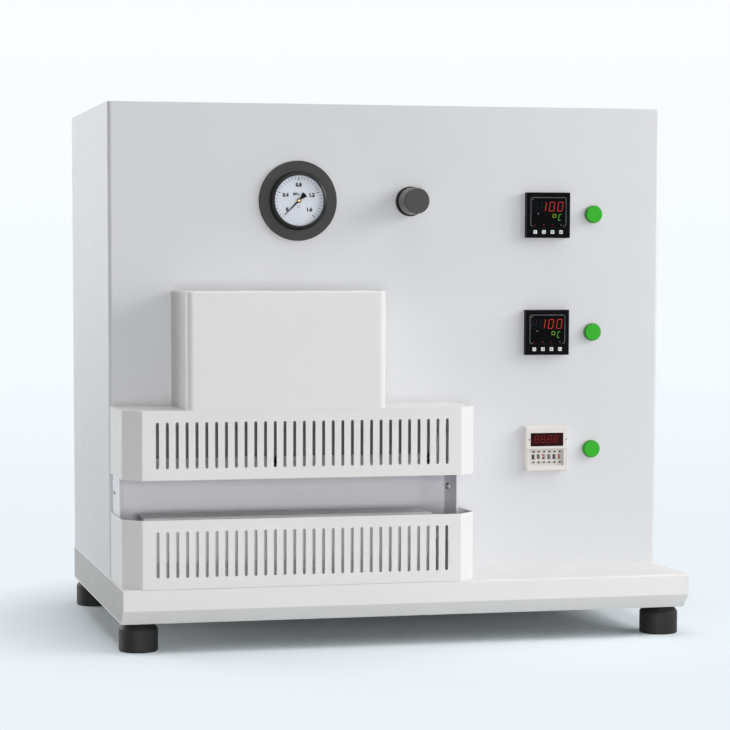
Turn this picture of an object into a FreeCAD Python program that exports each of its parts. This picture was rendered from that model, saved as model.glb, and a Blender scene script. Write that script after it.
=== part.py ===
import FreeCAD, Part
import math
import os

from FreeCAD import Vector

# Bench heat sealer: a folded steel cabinet on a flat base, with an air-driven upper sealing jaw
# behind two slotted guards, a pressure gauge and regulator, two temperature controllers, a timer
# and three push buttons. +X is the object's right seen from the front, the front faces -Y, +Z is
# up, and the origin is under the middle of the object on the floor. Millimetres.

# Cabinet and base
body_width = 600.0
body_depth = 293.0
body_height = 491.0
body_sheet = 1.5
body_bend = 5.0
base_projection = 96.0
base_front_height = 21.6
base_lip_drop = 15.0
base_lip_depth = 14.5
base_bend = 2.0
base_opening_inset = 40.0
rear_reach = 17.0
lid_flange = 14.0
lid_clearance = 0.2
rear_flange = 16.0
rear_panel_margin = 3.0
screw_margin = 20.0
seat_clearance = 0.3

# Feet
foot_height = 29.4
foot_radius = 20.0
foot_neck_radius = 15.5
foot_chamfer = 6.5
foot_toe = 1.0
foot_screw_radius = 3.0
foot_screw_sink = 9.0
foot_screw_grip = 9.0

# Guards in front of the jaws
guard_width = 367.4
guard_inset = 1.3
guard_setback = 0.3
guard_height = 69.6
guard_gap = 40.0
guard_corner = 18.2
guard_bend = 3.0
guard_sheet = 1.2
guard_tab = 14.0
guard_tab_top = 172.0
guard_tab_height = 22.0
slot_count = 31
slot_pitch = 10.0
slot_width = 3.2
slot_length = 46.6

# Frame between the guards
frame_inset_left = 2.0
frame_inset_right = 7.4
frame_depth = 46.0
frame_height = 148.0
frame_sheet = 1.5
frame_bend = 3.0
frame_slot_length = 16.0
frame_slot_width = 3.5
frame_slot_z = 90.6
frame_slot_y = 14.0

# Sealing jaws
jaw_length = 300.0
jaw_depth = 46.0
jaw_setback = 34.0
jaw_offset = -11.0
lower_plate = 13.0
lower_insulation = 12.0
lower_block = 34.5
jaw_face = 11.0
jaw_stroke = 60.0
jaw_closed_gap = 0.5
upper_block = 16.5
upper_insulation = 5.0
carrier_plate = 8.0
jaw_edge_chamfer = 1.0
plate_toe = 14.0
heater_radius = 5.0
heater_fit = 0.1
heater_pitch = 24.0
heater_tail = 7.0
heater_cap_radius = 6.5
jaw_screw_radius = 3.0
jaw_screw_pitch = 90.0

# Air cylinder, guides and their cover
cover_width = 206.5
cover_offset = -16.4
cover_depth = 94.0
cover_bottom = 173.0
cover_top = 297.7
cover_bend = 8.0
cover_top_bend = 2.0
cover_sheet = 1.5
bracket_bottom = 174.5
bracket_plate = 8.0
bracket_back = 6.0
bracket_rise = 58.0
bracket_margin = 0.5
bracket_gusset = 40.0
cylinder_side = 64.0
cylinder_chamfer = 7.0
cylinder_length = 95.0
cylinder_head = 8.5
bolt_inset = 11.0
bolt_radius = 4.0
bolt_height = 4.0
bore_radius = 25.0
piston_fit = 0.05
piston_length = 14.0
piston_groove = 4.0
piston_groove_depth = 3.0
rod_radius = 10.0
rod_spigot_radius = 6.0
rod_spigot = 6.0
guide_spacing = 150.0
guide_radius = 6.0
guide_length = 98.0
guide_fit = 0.05
bush_radius = 10.0
bush_length = 26.0
bush_flange_radius = 15.0
bush_flange = 3.0
port_radius = 5.5
port_length = 16.0
port_inset = 14.0
port_hole_radius = 7.0

# Pressure gauge
gauge_inset = 199.4
gauge_z = 390.8
gauge_flange_radius = 41.5
gauge_flange = 3.0
gauge_case_radius = 30.0
gauge_case_depth = 28.0
gauge_bezel_radius = 30.6
gauge_bezel_height = 6.3
gauge_view_radius = 26.1
gauge_lens = 1.2
gauge_lens_radius = 27.4
gauge_dial = 0.8
gauge_dial_depth = 2.4
gauge_stem_radius = 7.0
gauge_stem = 22.0
pointer_thickness = 0.8
pointer_length = 21.0
pointer_tail = 9.7
pointer_tail_width = 6.4
pointer_hub_radius = 2.4
pointer_spindle_radius = 1.0
pointer_zero_angle = 225.0

# Pressure regulator
knob_inset = 320.4
knob_nut_radius = 15.5
knob_nut = 3.5
knob_base_radius = 14.3
knob_waist_radius = 12.7
knob_face_radius = 13.4
knob_rim = 3.0
knob_neck_radius = 12.6
knob_neck = 4.5
knob_reach = 30.0
knob_gap = 0.6
knob_edge = 0.8
knob_shaft_radius = 5.0
knob_shaft_length = 18.0
shaft_fit = 0.05
regulator_body_radius = 17.0
regulator_depth = 62.0
regulator_neck_radius = 11.0
regulator_port_radius = 8.0
regulator_port_reach = 26.0

# Column of instruments and column of buttons
instrument_inset = 128.5
button_inset = 76.3
row_middle_z = 252.4
row_pitch = 124.6
button_pitch = 125.9
instrument_side = 48.0
instrument_cutout = 45.0
instrument_body = 44.4
instrument_reach = 9.0
instrument_depth = 82.0
instrument_chamfer = 1.2
display_width = 40.0
display_height = 31.0
display_x = -0.6
display_z = 3.5
display_thickness = 1.0
display_fit = 0.1
key_side = 3.8
key_pitch = 9.6
key_x = -0.9
key_z = -17.8
key_proud = 0.8
key_length = 2.6
key_fit = 0.15
key_travel = 0.5

# Timer
timer_window_width = 36.6
timer_window_height = 14.2
timer_window_z = 9.9
timer_recess_width = 40.0
timer_recess_height = 17.6
timer_recess_x = -1.2
timer_recess_z = -8.9
timer_recess_depth = 4.0
wheel_count = 6
wheel_pitch = 5.9
wheel_x = 0.7
wheel_radius = 6.0
wheel_width = 4.2
wheel_faces = 10
wheel_drop = 1.2
wheel_room = 0.4
wheel_window_height = 5.6
wheel_axle_radius = 1.2
wheel_fit = 0.05
digit_button_width = 3.2
digit_button_height = 2.0
digit_button_proud = 1.2
digit_button_offset = 5.7

# Push buttons
cap_radius = 8.5
cap_reach = 5.5
cap_edge = 0.6
cap_fit = 0.2
collar_radius = 9.4
collar_reach = 4.2
collar_floor = 0.6
button_travel = 2.0
switch_radius = 8.0
switch_depth = 28.0
switch_nut = 3.0
switch_nut_radius = 11.0
stem_radius = 3.0
stem_length = 10.0

# Rear fittings
inlet_inset = 110.0
inlet_z = 60.0
inlet_width = 50.0
inlet_height = 58.0
inlet_flange = 2.5
inlet_depth = 26.0
inlet_corner = 4.0
inlet_rim = 4.0
socket_width = 24.5
socket_height = 16.5
socket_corner = 4.0
socket_depth = 17.0
socket_z = -12.0
pin_width = 2.0
pin_height = 4.0
pin_length = 14.0
pin_spread = 14.0
pin_rise = 3.5
rocker_z = 16.0
rocker_width = 19.0
rocker_height = 12.5
rocker_fit = 0.5
rocker_tilt = 10.0
rocker_proud = 3.0
rocker_radius = 7.0
rocker_pin_radius = 1.4
air_inset = 150.0
air_z = 60.0
air_body_radius = 8.0
air_flange_radius = 10.5
air_flange = 4.0
air_tube_radius = 4.0
air_tube_depth = 15.0
air_inner = 16.0
silencer_inset = 90.0
silencer_radius = 6.5
silencer_reach = 15.0
silencer_flange = 4.0
silencer_thread = 8.0
silencer_thread_depth = 1.5
vent_rows = 8
vent_pitch = 10.0
vent_length = 60.0
vent_width = 4.0
vent_z = 380.0
vent_spread = 300.0
valve_inset = 120.0
valve_length = 90.0
valve_width = 22.0
valve_height = 30.0
valve_coil = 34.0
valve_coil_inset = 6.0
valve_port_radius = 4.5
valve_port_length = 9.0
valve_setback = 78.0
valve_foot = 2.0
screw_head_radius = 3.6
screw_head_height = 2.2
screw_radius = 1.9
screw_length = 6.0
screw_rows = 4
grommet_radius = 7.0
grommet_neck_radius = 5.0
grommet_bore_radius = 2.5
grommet_flange = 3.0
grommet_z = 119.0
grommet_offsets = (-9.4, 157.5)

# Places worked out from the sizes above
base_height = base_front_height + base_lip_drop
base_top = foot_height + base_height
body_top = base_top + body_height
total_depth = base_projection + body_depth + rear_reach
front_y = -total_depth / 2.0
panel_y = front_y + base_projection
rear_y = panel_y + body_depth
half_width = body_width / 2.0
guard_depth = base_projection - guard_setback
guard_left_x = guard_inset - half_width
guard_right_x = guard_left_x + guard_width
guard_centre_x = (guard_left_x + guard_right_x) / 2.0
frame_left_x = guard_left_x + frame_inset_left
frame_right_x = guard_right_x - frame_inset_right
jaw_centre_x = guard_centre_x + jaw_offset
cover_centre_x = guard_centre_x + cover_offset
grommet_places = tuple(guard_centre_x + offset for offset in grommet_offsets)
jaw_left_x = jaw_centre_x - jaw_length / 2.0
jaw_right_x = jaw_centre_x + jaw_length / 2.0
jaw_rear_y = panel_y - jaw_setback
jaw_front_y = jaw_rear_y - jaw_depth
jaw_middle_y = (jaw_front_y + jaw_rear_y) / 2.0
lower_top_z = base_top + lower_plate + lower_insulation + lower_block + jaw_face
upper_bottom_z = lower_top_z + jaw_closed_gap + jaw_stroke
upper_block_z = upper_bottom_z + jaw_face
upper_insulation_z = upper_block_z + upper_block
carrier_z = upper_insulation_z + upper_insulation
carrier_top_z = carrier_z + carrier_plate
bracket_z = base_top + bracket_bottom
cylinder_z = bracket_z + bracket_plate
piston_z = cylinder_z + cylinder_length - cylinder_head - piston_length
guide_places = (jaw_centre_x - guide_spacing / 2.0, jaw_centre_x + guide_spacing / 2.0)
row_heights = tuple(base_top + row_middle_z + row_pitch * step for step in (1, 0, -1))
button_heights = tuple(base_top + row_middle_z + button_pitch * step for step in (1, 0, -1))
instrument_x = half_width - instrument_inset
button_x = half_width - button_inset
gauge_x = gauge_inset - half_width
knob_x = knob_inset - half_width
gauge_height = base_top + gauge_z
inlet_x = half_width - inlet_inset
air_x = air_inset - half_width
silencer_x = silencer_inset - half_width
valve_x = valve_inset - half_width


def box(x0, x1, y0, y1, z0, z1):
    """Block between two corners given as ranges along each axis."""
    return Part.makeBox(x1 - x0, y1 - y0, z1 - z0, Vector(x0, y0, z0))


def centred_box(x, z, width, height, y0, y1):
    """Block centred on a point of the front panel, from depth y0 to y1."""
    return box(x - width / 2.0, x + width / 2.0, y0, y1, z - height / 2.0, z + height / 2.0)


def rod_y(x, z, radius, y0, y1):
    """Round bar along Y."""
    return Part.makeCylinder(radius, y1 - y0, Vector(x, y0, z), Vector(0, 1, 0))


def rod_z(x, y, radius, z0, z1):
    """Upright round bar."""
    return Part.makeCylinder(radius, z1 - z0, Vector(x, y, z0), Vector(0, 0, 1))


def rod_x(y, z, radius, x0, x1):
    """Round bar along X."""
    return Part.makeCylinder(radius, x1 - x0, Vector(x0, y, z), Vector(1, 0, 0))


def edges_along(shape, direction, test):
    """Straight edges of a shape along one direction whose middle passes a test."""
    found = []
    for edge in shape.Edges:
        start = edge.Vertexes[0].Point
        end = edge.Vertexes[-1].Point
        run = end.sub(start)
        if run.Length < 1e-6 or run.cross(direction).Length > 1e-6 * run.Length:
            continue
        if test((start + end) * 0.5):
            found.append(edge)
    return found


def offset_points(points, distance):
    """Points of an open path moved sideways to its left by a distance."""
    normals = []
    for start, end in zip(points[:-1], points[1:]):
        run = end.sub(start)
        run.normalize()
        normals.append(Vector(-run.y, run.x, 0))
    moved = [points[0] + normals[0] * distance]
    for point, before, after in zip(points[1:-1], normals[:-1], normals[1:]):
        bisector = before + after
        moved.append(point + bisector * (distance * 2.0 / bisector.dot(bisector)))
    moved.append(points[-1] + normals[-1] * distance)
    return moved


def rounded_edges(points, radius):
    """Edges of an open path with each inner corner rounded to a radius."""
    edges = []
    here = points[0]
    for corner, after in zip(points[1:-1], points[2:]):
        back = here.sub(corner)
        ahead = after.sub(corner)
        back.normalize()
        ahead.normalize()
        half_angle = back.getAngle(ahead) / 2.0
        reach = radius / math.tan(half_angle)
        start = corner + back * reach
        end = corner + ahead * reach
        inward = back + ahead
        inward.normalize()
        middle = corner + inward * (radius / math.sin(half_angle) - radius)
        edges.append(Part.LineSegment(here, start).toShape())
        edges.append(Part.Arc(start, middle, end).toShape())
        here = end
    edges.append(Part.LineSegment(here, points[-1]).toShape())
    return edges


def bent_sheet(outline, radius, sheet, z0, z1):
    """Upright sheet that follows a plan outline of its outer face and is bent at each corner.

    The sheet's thickness lies to the left of the outline's direction.
    """
    outer = [Vector(x, y, z0) for x, y in outline]
    inner = offset_points(outer, sheet)
    edges = rounded_edges(outer, radius)
    edges += rounded_edges(inner, radius - sheet)
    edges.append(Part.LineSegment(outer[0], inner[0]).toShape())
    edges.append(Part.LineSegment(outer[-1], inner[-1]).toShape())
    face = Part.Face(Part.Wire(Part.__sortEdges__(edges)))
    return face.extrude(Vector(0, 0, z1 - z0))


def turned(profile, x, z, y):
    """Body of revolution about a line along Y, from radius and depth pairs."""
    points = [Vector(x + radius, y + depth, z) for radius, depth in profile]
    face = Part.Face(Part.makePolygon(points + [points[0]]))
    return face.revolve(Vector(x, 0, z), Vector(0, 1, 0), 360)


def round_slot(length, width, depth):
    """Cutter with round ends, upright along Z and cutting along Y, centred on the origin."""
    half = width / 2.0
    middle = length / 2.0 - half
    cutter = box(-half, half, -depth / 2.0, depth / 2.0, -middle, middle)
    for end in (-middle, middle):
        cutter = cutter.fuse(rod_y(0, end, half, -depth / 2.0, depth / 2.0))
    return cutter.removeSplitter()


def placed(shape, x, y, z):
    """Copy of a shape moved by a vector."""
    copy = shape.copy()
    copy.translate(Vector(x, y, z))
    return copy


# Base and feet

def base_outline(inset):
    """Side profile of the base as a face, moved inwards by an inset."""
    points = [
        Vector(0, rear_y, base_top),
        Vector(0, front_y, base_top),
        Vector(0, front_y, base_top - base_front_height),
        Vector(0, front_y + base_lip_depth, foot_height),
        Vector(0, rear_y, foot_height),
    ]
    wire = Part.makePolygon(points + [points[0]])
    if inset == 0:
        return Part.Face(wire)
    return Part.Face(wire.makeOffset2D(-inset, 2))


def base_shell():
    """Folded base: top with a wiring opening, front, slanted lip, bottom and back."""
    solid = base_outline(0).extrude(Vector(body_width, 0, 0))
    solid.translate(Vector(-half_width, 0, 0))
    lip_back = front_y + base_lip_depth + 1
    front_edges = edges_along(solid, Vector(1, 0, 0), lambda middle: middle.y < lip_back)
    solid = solid.makeFillet(base_bend, front_edges)
    hollow = base_outline(body_sheet).extrude(Vector(body_width, 0, 0))
    hollow.translate(Vector(-half_width, 0, 0))
    opening = box(
        -half_width + base_opening_inset, half_width - base_opening_inset,
        panel_y + base_opening_inset, rear_y - base_opening_inset,
        base_top - 2 * body_sheet, base_top + 1,
    )
    shell = solid.cut(hollow).cut(opening)
    for x, y in foot_places():
        shell = shell.cut(rod_z(x, y, foot_screw_radius, foot_height - 1, foot_height + 2 * body_sheet))
    return shell


def base_end(side):
    """End plate set into the open end of the base, flush with the folded edges."""
    plate = base_outline(body_sheet).extrude(Vector(body_sheet, 0, 0))
    x = half_width - body_sheet if side > 0 else -half_width
    plate.translate(Vector(x, 0, 0))
    return plate


def foot_places():
    """Plan positions of the four feet, tucked into the corners of the base."""
    x = half_width - foot_radius
    front = front_y + base_lip_depth + foot_radius
    back = rear_y - foot_radius
    return [(-x, front), (x, front), (-x, back), (x, back)]


def foot(x, y):
    """Rubber foot with a tapered neck and a sunk hole for its screw."""
    profile = [
        Vector(0, 0, 0),
        Vector(foot_radius - foot_toe, 0, 0),
        Vector(foot_radius, 0, foot_toe),
        Vector(foot_radius, 0, foot_height - foot_chamfer),
        Vector(foot_neck_radius, 0, foot_height),
        Vector(0, 0, foot_height),
    ]
    face = Part.Face(Part.makePolygon(profile + [profile[0]]))
    solid = face.revolve(Vector(0, 0, 0), Vector(0, 0, 1), 360)
    solid = solid.cut(rod_z(0, 0, foot_screw_radius, -1, foot_height + 1))
    solid = solid.cut(rod_z(0, 0, 2 * foot_screw_radius, -1, foot_screw_sink))
    return placed(solid, x, y, 0)


def foot_screw(x, y):
    """Screw up through a foot into the bottom of the base."""
    head_bottom = foot_screw_sink - foot_screw_radius
    head = rod_z(x, y, 2 * foot_screw_radius - seat_clearance, head_bottom, foot_screw_sink)
    return head.fuse(rod_z(x, y, foot_screw_radius, foot_screw_sink, foot_height + foot_screw_grip))


# Cabinet

def front_cutouts():
    """Everything cut through the front panel for what is fitted in it."""
    y0 = panel_y - 1
    y1 = panel_y + body_sheet + 1
    cuts = [rod_y(gauge_x, gauge_height, gauge_case_radius + seat_clearance, y0, y1)]
    cuts.append(rod_y(knob_x, gauge_height, regulator_neck_radius, y0, y1))
    for z in row_heights:
        cuts.append(centred_box(instrument_x, z, instrument_cutout, instrument_cutout, y0, y1))
    for z in button_heights:
        cuts.append(rod_y(button_x, z, switch_radius, y0, y1))
    for z in port_heights():
        cuts.append(rod_y(jaw_centre_x, z, port_hole_radius, y0, y1))
    for x in grommet_places:
        cuts.append(rod_y(x, base_top + grommet_z, grommet_neck_radius, y0, y1))
    return cuts


def cabinet_wrap():
    """Front and both sides folded from one sheet, with flanges at the back for the rear panel."""
    flange_y = rear_y - body_sheet
    outline = [
        (-half_width + rear_flange, flange_y),
        (-half_width, flange_y),
        (-half_width, panel_y),
        (half_width, panel_y),
        (half_width, flange_y),
        (half_width - rear_flange, flange_y),
    ]
    wrap = bent_sheet(outline, body_bend, body_sheet, base_top, body_top)
    for cut in front_cutouts():
        wrap = wrap.cut(cut)
    for x, z in screw_places():
        wrap = wrap.cut(rod_y(x, z, screw_radius, rear_y - screw_length, rear_y))
    return wrap


def top_lid():
    """Lid let into the top of the cabinet, with its edges folded down inside."""
    side = half_width - body_sheet - lid_clearance
    front = panel_y + body_sheet + lid_clearance
    back = rear_y - body_sheet - rear_flange
    lid = box(-side, side, front, back, body_top - lid_flange, body_top)
    corner = body_bend - body_sheet - lid_clearance
    lid = lid.makeFillet(corner, edges_along(lid, Vector(0, 0, 1), lambda middle: middle.y < front + 1))
    inner = box(
        -side + body_sheet, side - body_sheet, front + body_sheet, back - body_sheet,
        body_top - lid_flange - 1, body_top - body_sheet,
    )
    ledge = box(-side, side, back - body_sheet, rear_y - 2 * body_sheet, body_top - body_sheet, body_top)
    return lid.cut(inner).fuse(ledge).removeSplitter()


def rear_panel():
    """Flat rear panel over the cabinet's back flanges, with vents and cut-outs."""
    side = half_width - rear_panel_margin
    y0 = rear_y - body_sheet
    panel = box(-side, side, y0, rear_y, base_top, body_top - rear_panel_margin)
    cut_y0 = y0 - 1
    cut_y1 = rear_y + 1
    hole_width = inlet_width - 2 * inlet_rim
    hole_height = inlet_height - 2 * inlet_rim
    panel = panel.cut(centred_box(
        inlet_x, base_top + inlet_z, hole_width, hole_height, cut_y0, cut_y1))
    panel = panel.cut(rod_y(air_x, base_top + air_z, air_body_radius, cut_y0, cut_y1))
    thread = silencer_radius - silencer_thread_depth
    panel = panel.cut(rod_y(silencer_x, base_top + air_z, thread, cut_y0, cut_y1))
    for x in (-vent_spread / 2.0, vent_spread / 2.0):
        for row in range(vent_rows):
            z = base_top + vent_z - vent_pitch * row
            panel = panel.cut(centred_box(x, z, vent_length, vent_width, cut_y0, cut_y1))
    for x, z in screw_places():
        panel = panel.cut(rod_y(x, z, screw_radius, cut_y0, cut_y1))
    return panel


def screw_places():
    """Positions of the rear panel's screws along its two upright edges."""
    x = half_width - rear_flange / 2.0 - body_sheet
    bottom = base_top + screw_margin
    step = (body_height - 2 * screw_margin) / (screw_rows - 1)
    return [(sign * x, bottom + step * row) for sign in (-1, 1) for row in range(screw_rows)]


def case_screws():
    """Pan-head screws that hold the rear panel, and the screws of the feet."""
    screws = [foot_screw(x, y) for x, y in foot_places()]
    for x, z in screw_places():
        head = rod_y(x, z, screw_head_radius, rear_y, rear_y + screw_head_height)
        screws.append(head.fuse(rod_y(x, z, screw_radius, rear_y - screw_length, rear_y)))
    return Part.makeCompound(screws)


# Guards and frame

def guard_outline():
    """Plan outline of a guard's outer face, from the panel round the front and back to it."""
    front = panel_y - guard_depth
    return [
        (guard_left_x, panel_y),
        (guard_left_x, front + guard_corner),
        (guard_left_x + guard_corner, front),
        (guard_right_x - guard_corner, front),
        (guard_right_x, front + guard_corner),
        (guard_right_x, panel_y),
    ]


def slotted_guard(bottom):
    """Guard bent round the jaws, with a row of upright round-ended slots in its front."""
    guard = bent_sheet(guard_outline(), guard_bend, guard_sheet, bottom, bottom + guard_height)
    cutter = round_slot(slot_length, slot_width, 4 * guard_sheet)
    first = guard_centre_x - slot_pitch * (slot_count - 1) / 2.0
    front = panel_y - guard_depth
    slots = [
        placed(cutter, first + slot_pitch * place, front, bottom + guard_height / 2.0)
        for place in range(slot_count)
    ]
    return guard.cut(Part.makeCompound(slots))


def lower_guard():
    """Guard round the lower jaw, with feet folded in over the base."""
    guard = slotted_guard(base_top)
    inner_front = panel_y - guard_depth + guard_sheet / 2.0
    for place in (-1, 0, 1):
        x = guard_centre_x + place * guard_width / 3.0
        foot_tab = box(
            x - guard_tab, x + guard_tab, inner_front, inner_front + guard_tab - 2.0,
            base_top, base_top + guard_sheet)
        guard = guard.fuse(foot_tab)
    return guard.removeSplitter()


def guard_top(z):
    """Flat top of the upper guard below a height, cut out round the cover."""
    bottom = [Vector(x, y, z - guard_sheet) for x, y in guard_outline()]
    middle = offset_points(bottom, guard_sheet / 2.0)
    edges = rounded_edges(middle, guard_bend - guard_sheet / 2.0)
    edges.append(Part.LineSegment(middle[-1], middle[0]).toShape())
    plate = Part.Face(Part.Wire(Part.__sortEdges__(edges))).extrude(Vector(0, 0, guard_sheet))
    return plate.cut(cover_block(-seat_clearance, z - 2 * guard_sheet, z + 1, panel_y + 1))


def upper_guard():
    """Guard round the upper jaw, closed at the top, with tabs folded flat on the panel at both ends."""
    bottom = base_top + guard_height + guard_gap
    guard = slotted_guard(bottom).fuse(guard_top(bottom + guard_height))
    tab_top = base_top + guard_tab_top
    for start in (guard_left_x, guard_right_x - guard_tab):
        tab = box(
            start, start + guard_tab, panel_y - guard_sheet, panel_y, tab_top - guard_tab_height, tab_top)
        guard = guard.fuse(tab)
    return guard.removeSplitter()


def jaw_frame():
    """U-shaped sheet frame on the panel, with a slot in each side."""
    outline = [
        (frame_left_x, panel_y - frame_depth),
        (frame_left_x, panel_y),
        (frame_right_x, panel_y),
        (frame_right_x, panel_y - frame_depth),
    ]
    outline.reverse()
    frame = bent_sheet(outline, frame_bend, frame_sheet, base_top, base_top + frame_height)
    for x in (frame_left_x, frame_right_x):
        frame = frame.cut(side_slot(x))
    for x in grommet_places:
        hole = rod_y(x, base_top + grommet_z, grommet_neck_radius, panel_y - frame_sheet - 1, panel_y + 1)
        frame = frame.cut(hole)
    return frame


def side_slot(x):
    """Cutter for the round-ended slot in a side of the frame, along Y."""
    y = panel_y - frame_slot_y
    z = base_top + frame_slot_z
    half = frame_slot_width / 2.0
    middle = frame_slot_length / 2.0 - half
    reach = 3 * frame_sheet
    cutter = box(x - reach, x + reach, y - middle, y + middle, z - half, z + half)
    for end in (-middle, middle):
        cutter = cutter.fuse(rod_x(y + end, z, half, x - reach, x + reach))
    return cutter.removeSplitter()


def lead_grommets():
    """Grommets through frame and panel where the jaw's leads pass."""
    grommets = []
    y = panel_y - frame_sheet
    inside = panel_y + body_sheet
    for x in grommet_places:
        z = base_top + grommet_z
        front = rod_y(x, z, grommet_radius, y - grommet_flange, y)
        neck = rod_y(x, z, grommet_neck_radius, y, inside)
        back = rod_y(x, z, grommet_radius, inside, inside + grommet_flange)
        bore = rod_y(x, z, grommet_bore_radius, y - grommet_flange - 1, inside + grommet_flange + 1)
        grommets.append(front.fuse([neck, back]).cut(bore).removeSplitter())
    return Part.makeCompound(grommets)


# Jaws

def jaw_block(z0, thickness):
    """Plain block with the plan of the jaws."""
    return box(jaw_left_x, jaw_right_x, jaw_front_y, jaw_rear_y, z0, z0 + thickness)


def jaw_screw_places():
    """Plan positions of the screws that clamp a jaw's layers together."""
    return [(jaw_centre_x + jaw_screw_pitch * step, jaw_middle_y) for step in (-1.4, 1.4)]


def heater_places():
    """Depths of the two cartridge heaters in a block."""
    return (jaw_middle_y - heater_pitch / 2.0, jaw_middle_y + heater_pitch / 2.0)


def drilled_block(z0, thickness):
    """Heater block with a through bore for each cartridge heater."""
    block = jaw_block(z0, thickness)
    for y in heater_places():
        bore = rod_x(y, z0 + thickness / 2.0, heater_radius + heater_fit, jaw_left_x - 1, jaw_right_x + 1)
        block = block.cut(bore)
    return block


def cartridge_heaters(z):
    """Two cartridge heaters with a cap at the lead end."""
    heaters = []
    for y in heater_places():
        sheath = rod_x(y, z, heater_radius, jaw_left_x + heater_tail, jaw_right_x + heater_tail)
        cap = rod_x(y, z, heater_cap_radius, jaw_right_x, jaw_right_x + heater_tail)
        heaters.append(sheath.fuse(cap).removeSplitter())
    return Part.makeCompound(heaters)


def face_bar(z0, contact_z):
    """Sealing bar of a jaw with its edges broken on the contact side."""
    bar = jaw_block(z0, jaw_face)
    edges = [edge for edge in bar.Edges if abs(edge.CenterOfMass.z - contact_z) < 1e-6]
    return bar.makeChamfer(jaw_edge_chamfer, edges)


def lower_mount_plate():
    """Plate that carries the lower jaw on the base, with bolts along its back edge."""
    plate = box(
        jaw_left_x, jaw_right_x, jaw_front_y, jaw_rear_y + plate_toe, base_top, base_top + lower_plate)
    for step in (-1, 0, 1):
        x = jaw_centre_x + step * jaw_length / 3.0
        y = jaw_rear_y + plate_toe / 2.0
        plate = plate.cut(rod_z(x, y, jaw_screw_radius, base_top - 1, base_top + lower_plate + 1))
    return plate


def jaw_carrier():
    """Plate above the upper jaw that joins it to the piston rod and the guide rods."""
    plate = jaw_block(carrier_z, carrier_plate)
    plate = plate.makeChamfer(jaw_edge_chamfer, edges_along(plate, Vector(0, 0, 1), lambda middle: True))
    socket_z = carrier_top_z - rod_spigot
    plate = plate.cut(rod_z(jaw_centre_x, jaw_middle_y, rod_spigot_radius, socket_z, carrier_top_z + 1))
    for x in guide_places:
        plate = plate.cut(rod_z(x, jaw_middle_y, guide_radius, socket_z, carrier_top_z + 1))
    for x, y in jaw_screw_places():
        plate = plate.cut(rod_z(x, y, jaw_screw_radius, carrier_z - 1, carrier_top_z + 1))
    return plate


def piston_rod():
    """Piston rod with its piston above and a spigot into the carrier below."""
    spigot = rod_z(jaw_centre_x, jaw_middle_y, rod_spigot_radius, carrier_top_z - rod_spigot, carrier_top_z)
    rod = rod_z(jaw_centre_x, jaw_middle_y, rod_radius, carrier_top_z, piston_z)
    piston = rod_z(jaw_centre_x, jaw_middle_y, bore_radius - piston_fit, piston_z, piston_z + piston_length)
    groove_z = piston_z + (piston_length - piston_groove) / 2.0
    groove_top = groove_z + piston_groove
    groove = rod_z(jaw_centre_x, jaw_middle_y, bore_radius + 1, groove_z, groove_top)
    core_radius = bore_radius - piston_groove_depth
    core = rod_z(jaw_centre_x, jaw_middle_y, core_radius, groove_z - 1, groove_top + 1)
    return spigot.fuse([rod, piston.cut(groove.cut(core))]).removeSplitter()


def guide_rods():
    """Two guide rods that stand in the carrier."""
    bottom = carrier_top_z - rod_spigot
    rods = []
    for x in guide_places:
        rod = rod_z(x, jaw_middle_y, guide_radius, bottom, bottom + guide_length)
        top = [edge for edge in rod.Edges if abs(edge.CenterOfMass.z - bottom - guide_length) < 1e-6]
        rods.append(rod.makeChamfer(1.0, top))
    return Part.makeCompound(rods)


# Cylinder, bracket and cover

def cylinder_bracket():
    """Angle bracket on the panel that carries the cylinder, with two gussets."""
    left = cover_centre_x - cover_width / 2.0 + cover_sheet + bracket_margin
    right = cover_centre_x + cover_width / 2.0 - cover_sheet - bracket_margin
    front = panel_y - cover_depth + cover_sheet + bracket_margin
    foot_z = bracket_z + bracket_plate
    plate = box(left, right, front, panel_y, bracket_z, foot_z)
    corners = edges_along(plate, Vector(0, 0, 1), lambda middle: middle.y < front + 1)
    plate = plate.makeFillet(cover_bend, corners)
    back = box(left, right, panel_y - bracket_back, panel_y, bracket_z, foot_z + bracket_rise)
    bracket = plate.fuse(back)
    for x in (left, right - bracket_back):
        points = [
            Vector(x, panel_y - bracket_back, foot_z),
            Vector(x, panel_y - bracket_back - bracket_gusset, foot_z),
            Vector(x, panel_y - bracket_back, foot_z + bracket_gusset),
        ]
        gusset = Part.Face(Part.makePolygon(points + [points[0]])).extrude(Vector(bracket_back, 0, 0))
        bracket = bracket.fuse(gusset)
    rod_hole = rod_z(jaw_centre_x, jaw_middle_y, rod_radius + 2.0, bracket_z - 1, foot_z + 1)
    bracket = bracket.cut(rod_hole)
    for x in guide_places:
        bracket = bracket.cut(rod_z(x, jaw_middle_y, bush_radius, bracket_z - 1, foot_z + 1))
    for z in port_heights():
        hole = rod_y(jaw_centre_x, z, port_hole_radius, panel_y - bracket_back - 1, panel_y + 1)
        bracket = bracket.cut(hole)
    return bracket.removeSplitter()


def port_heights():
    """Heights of the cylinder's two air ports."""
    return (cylinder_z + port_inset, cylinder_z + cylinder_length - port_inset)


def cylinder_chamber_z():
    """Height of the floor and the ceiling of the cylinder's bore."""
    return cylinder_z + cylinder_head, cylinder_z + cylinder_length - cylinder_head + 1.0


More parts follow.
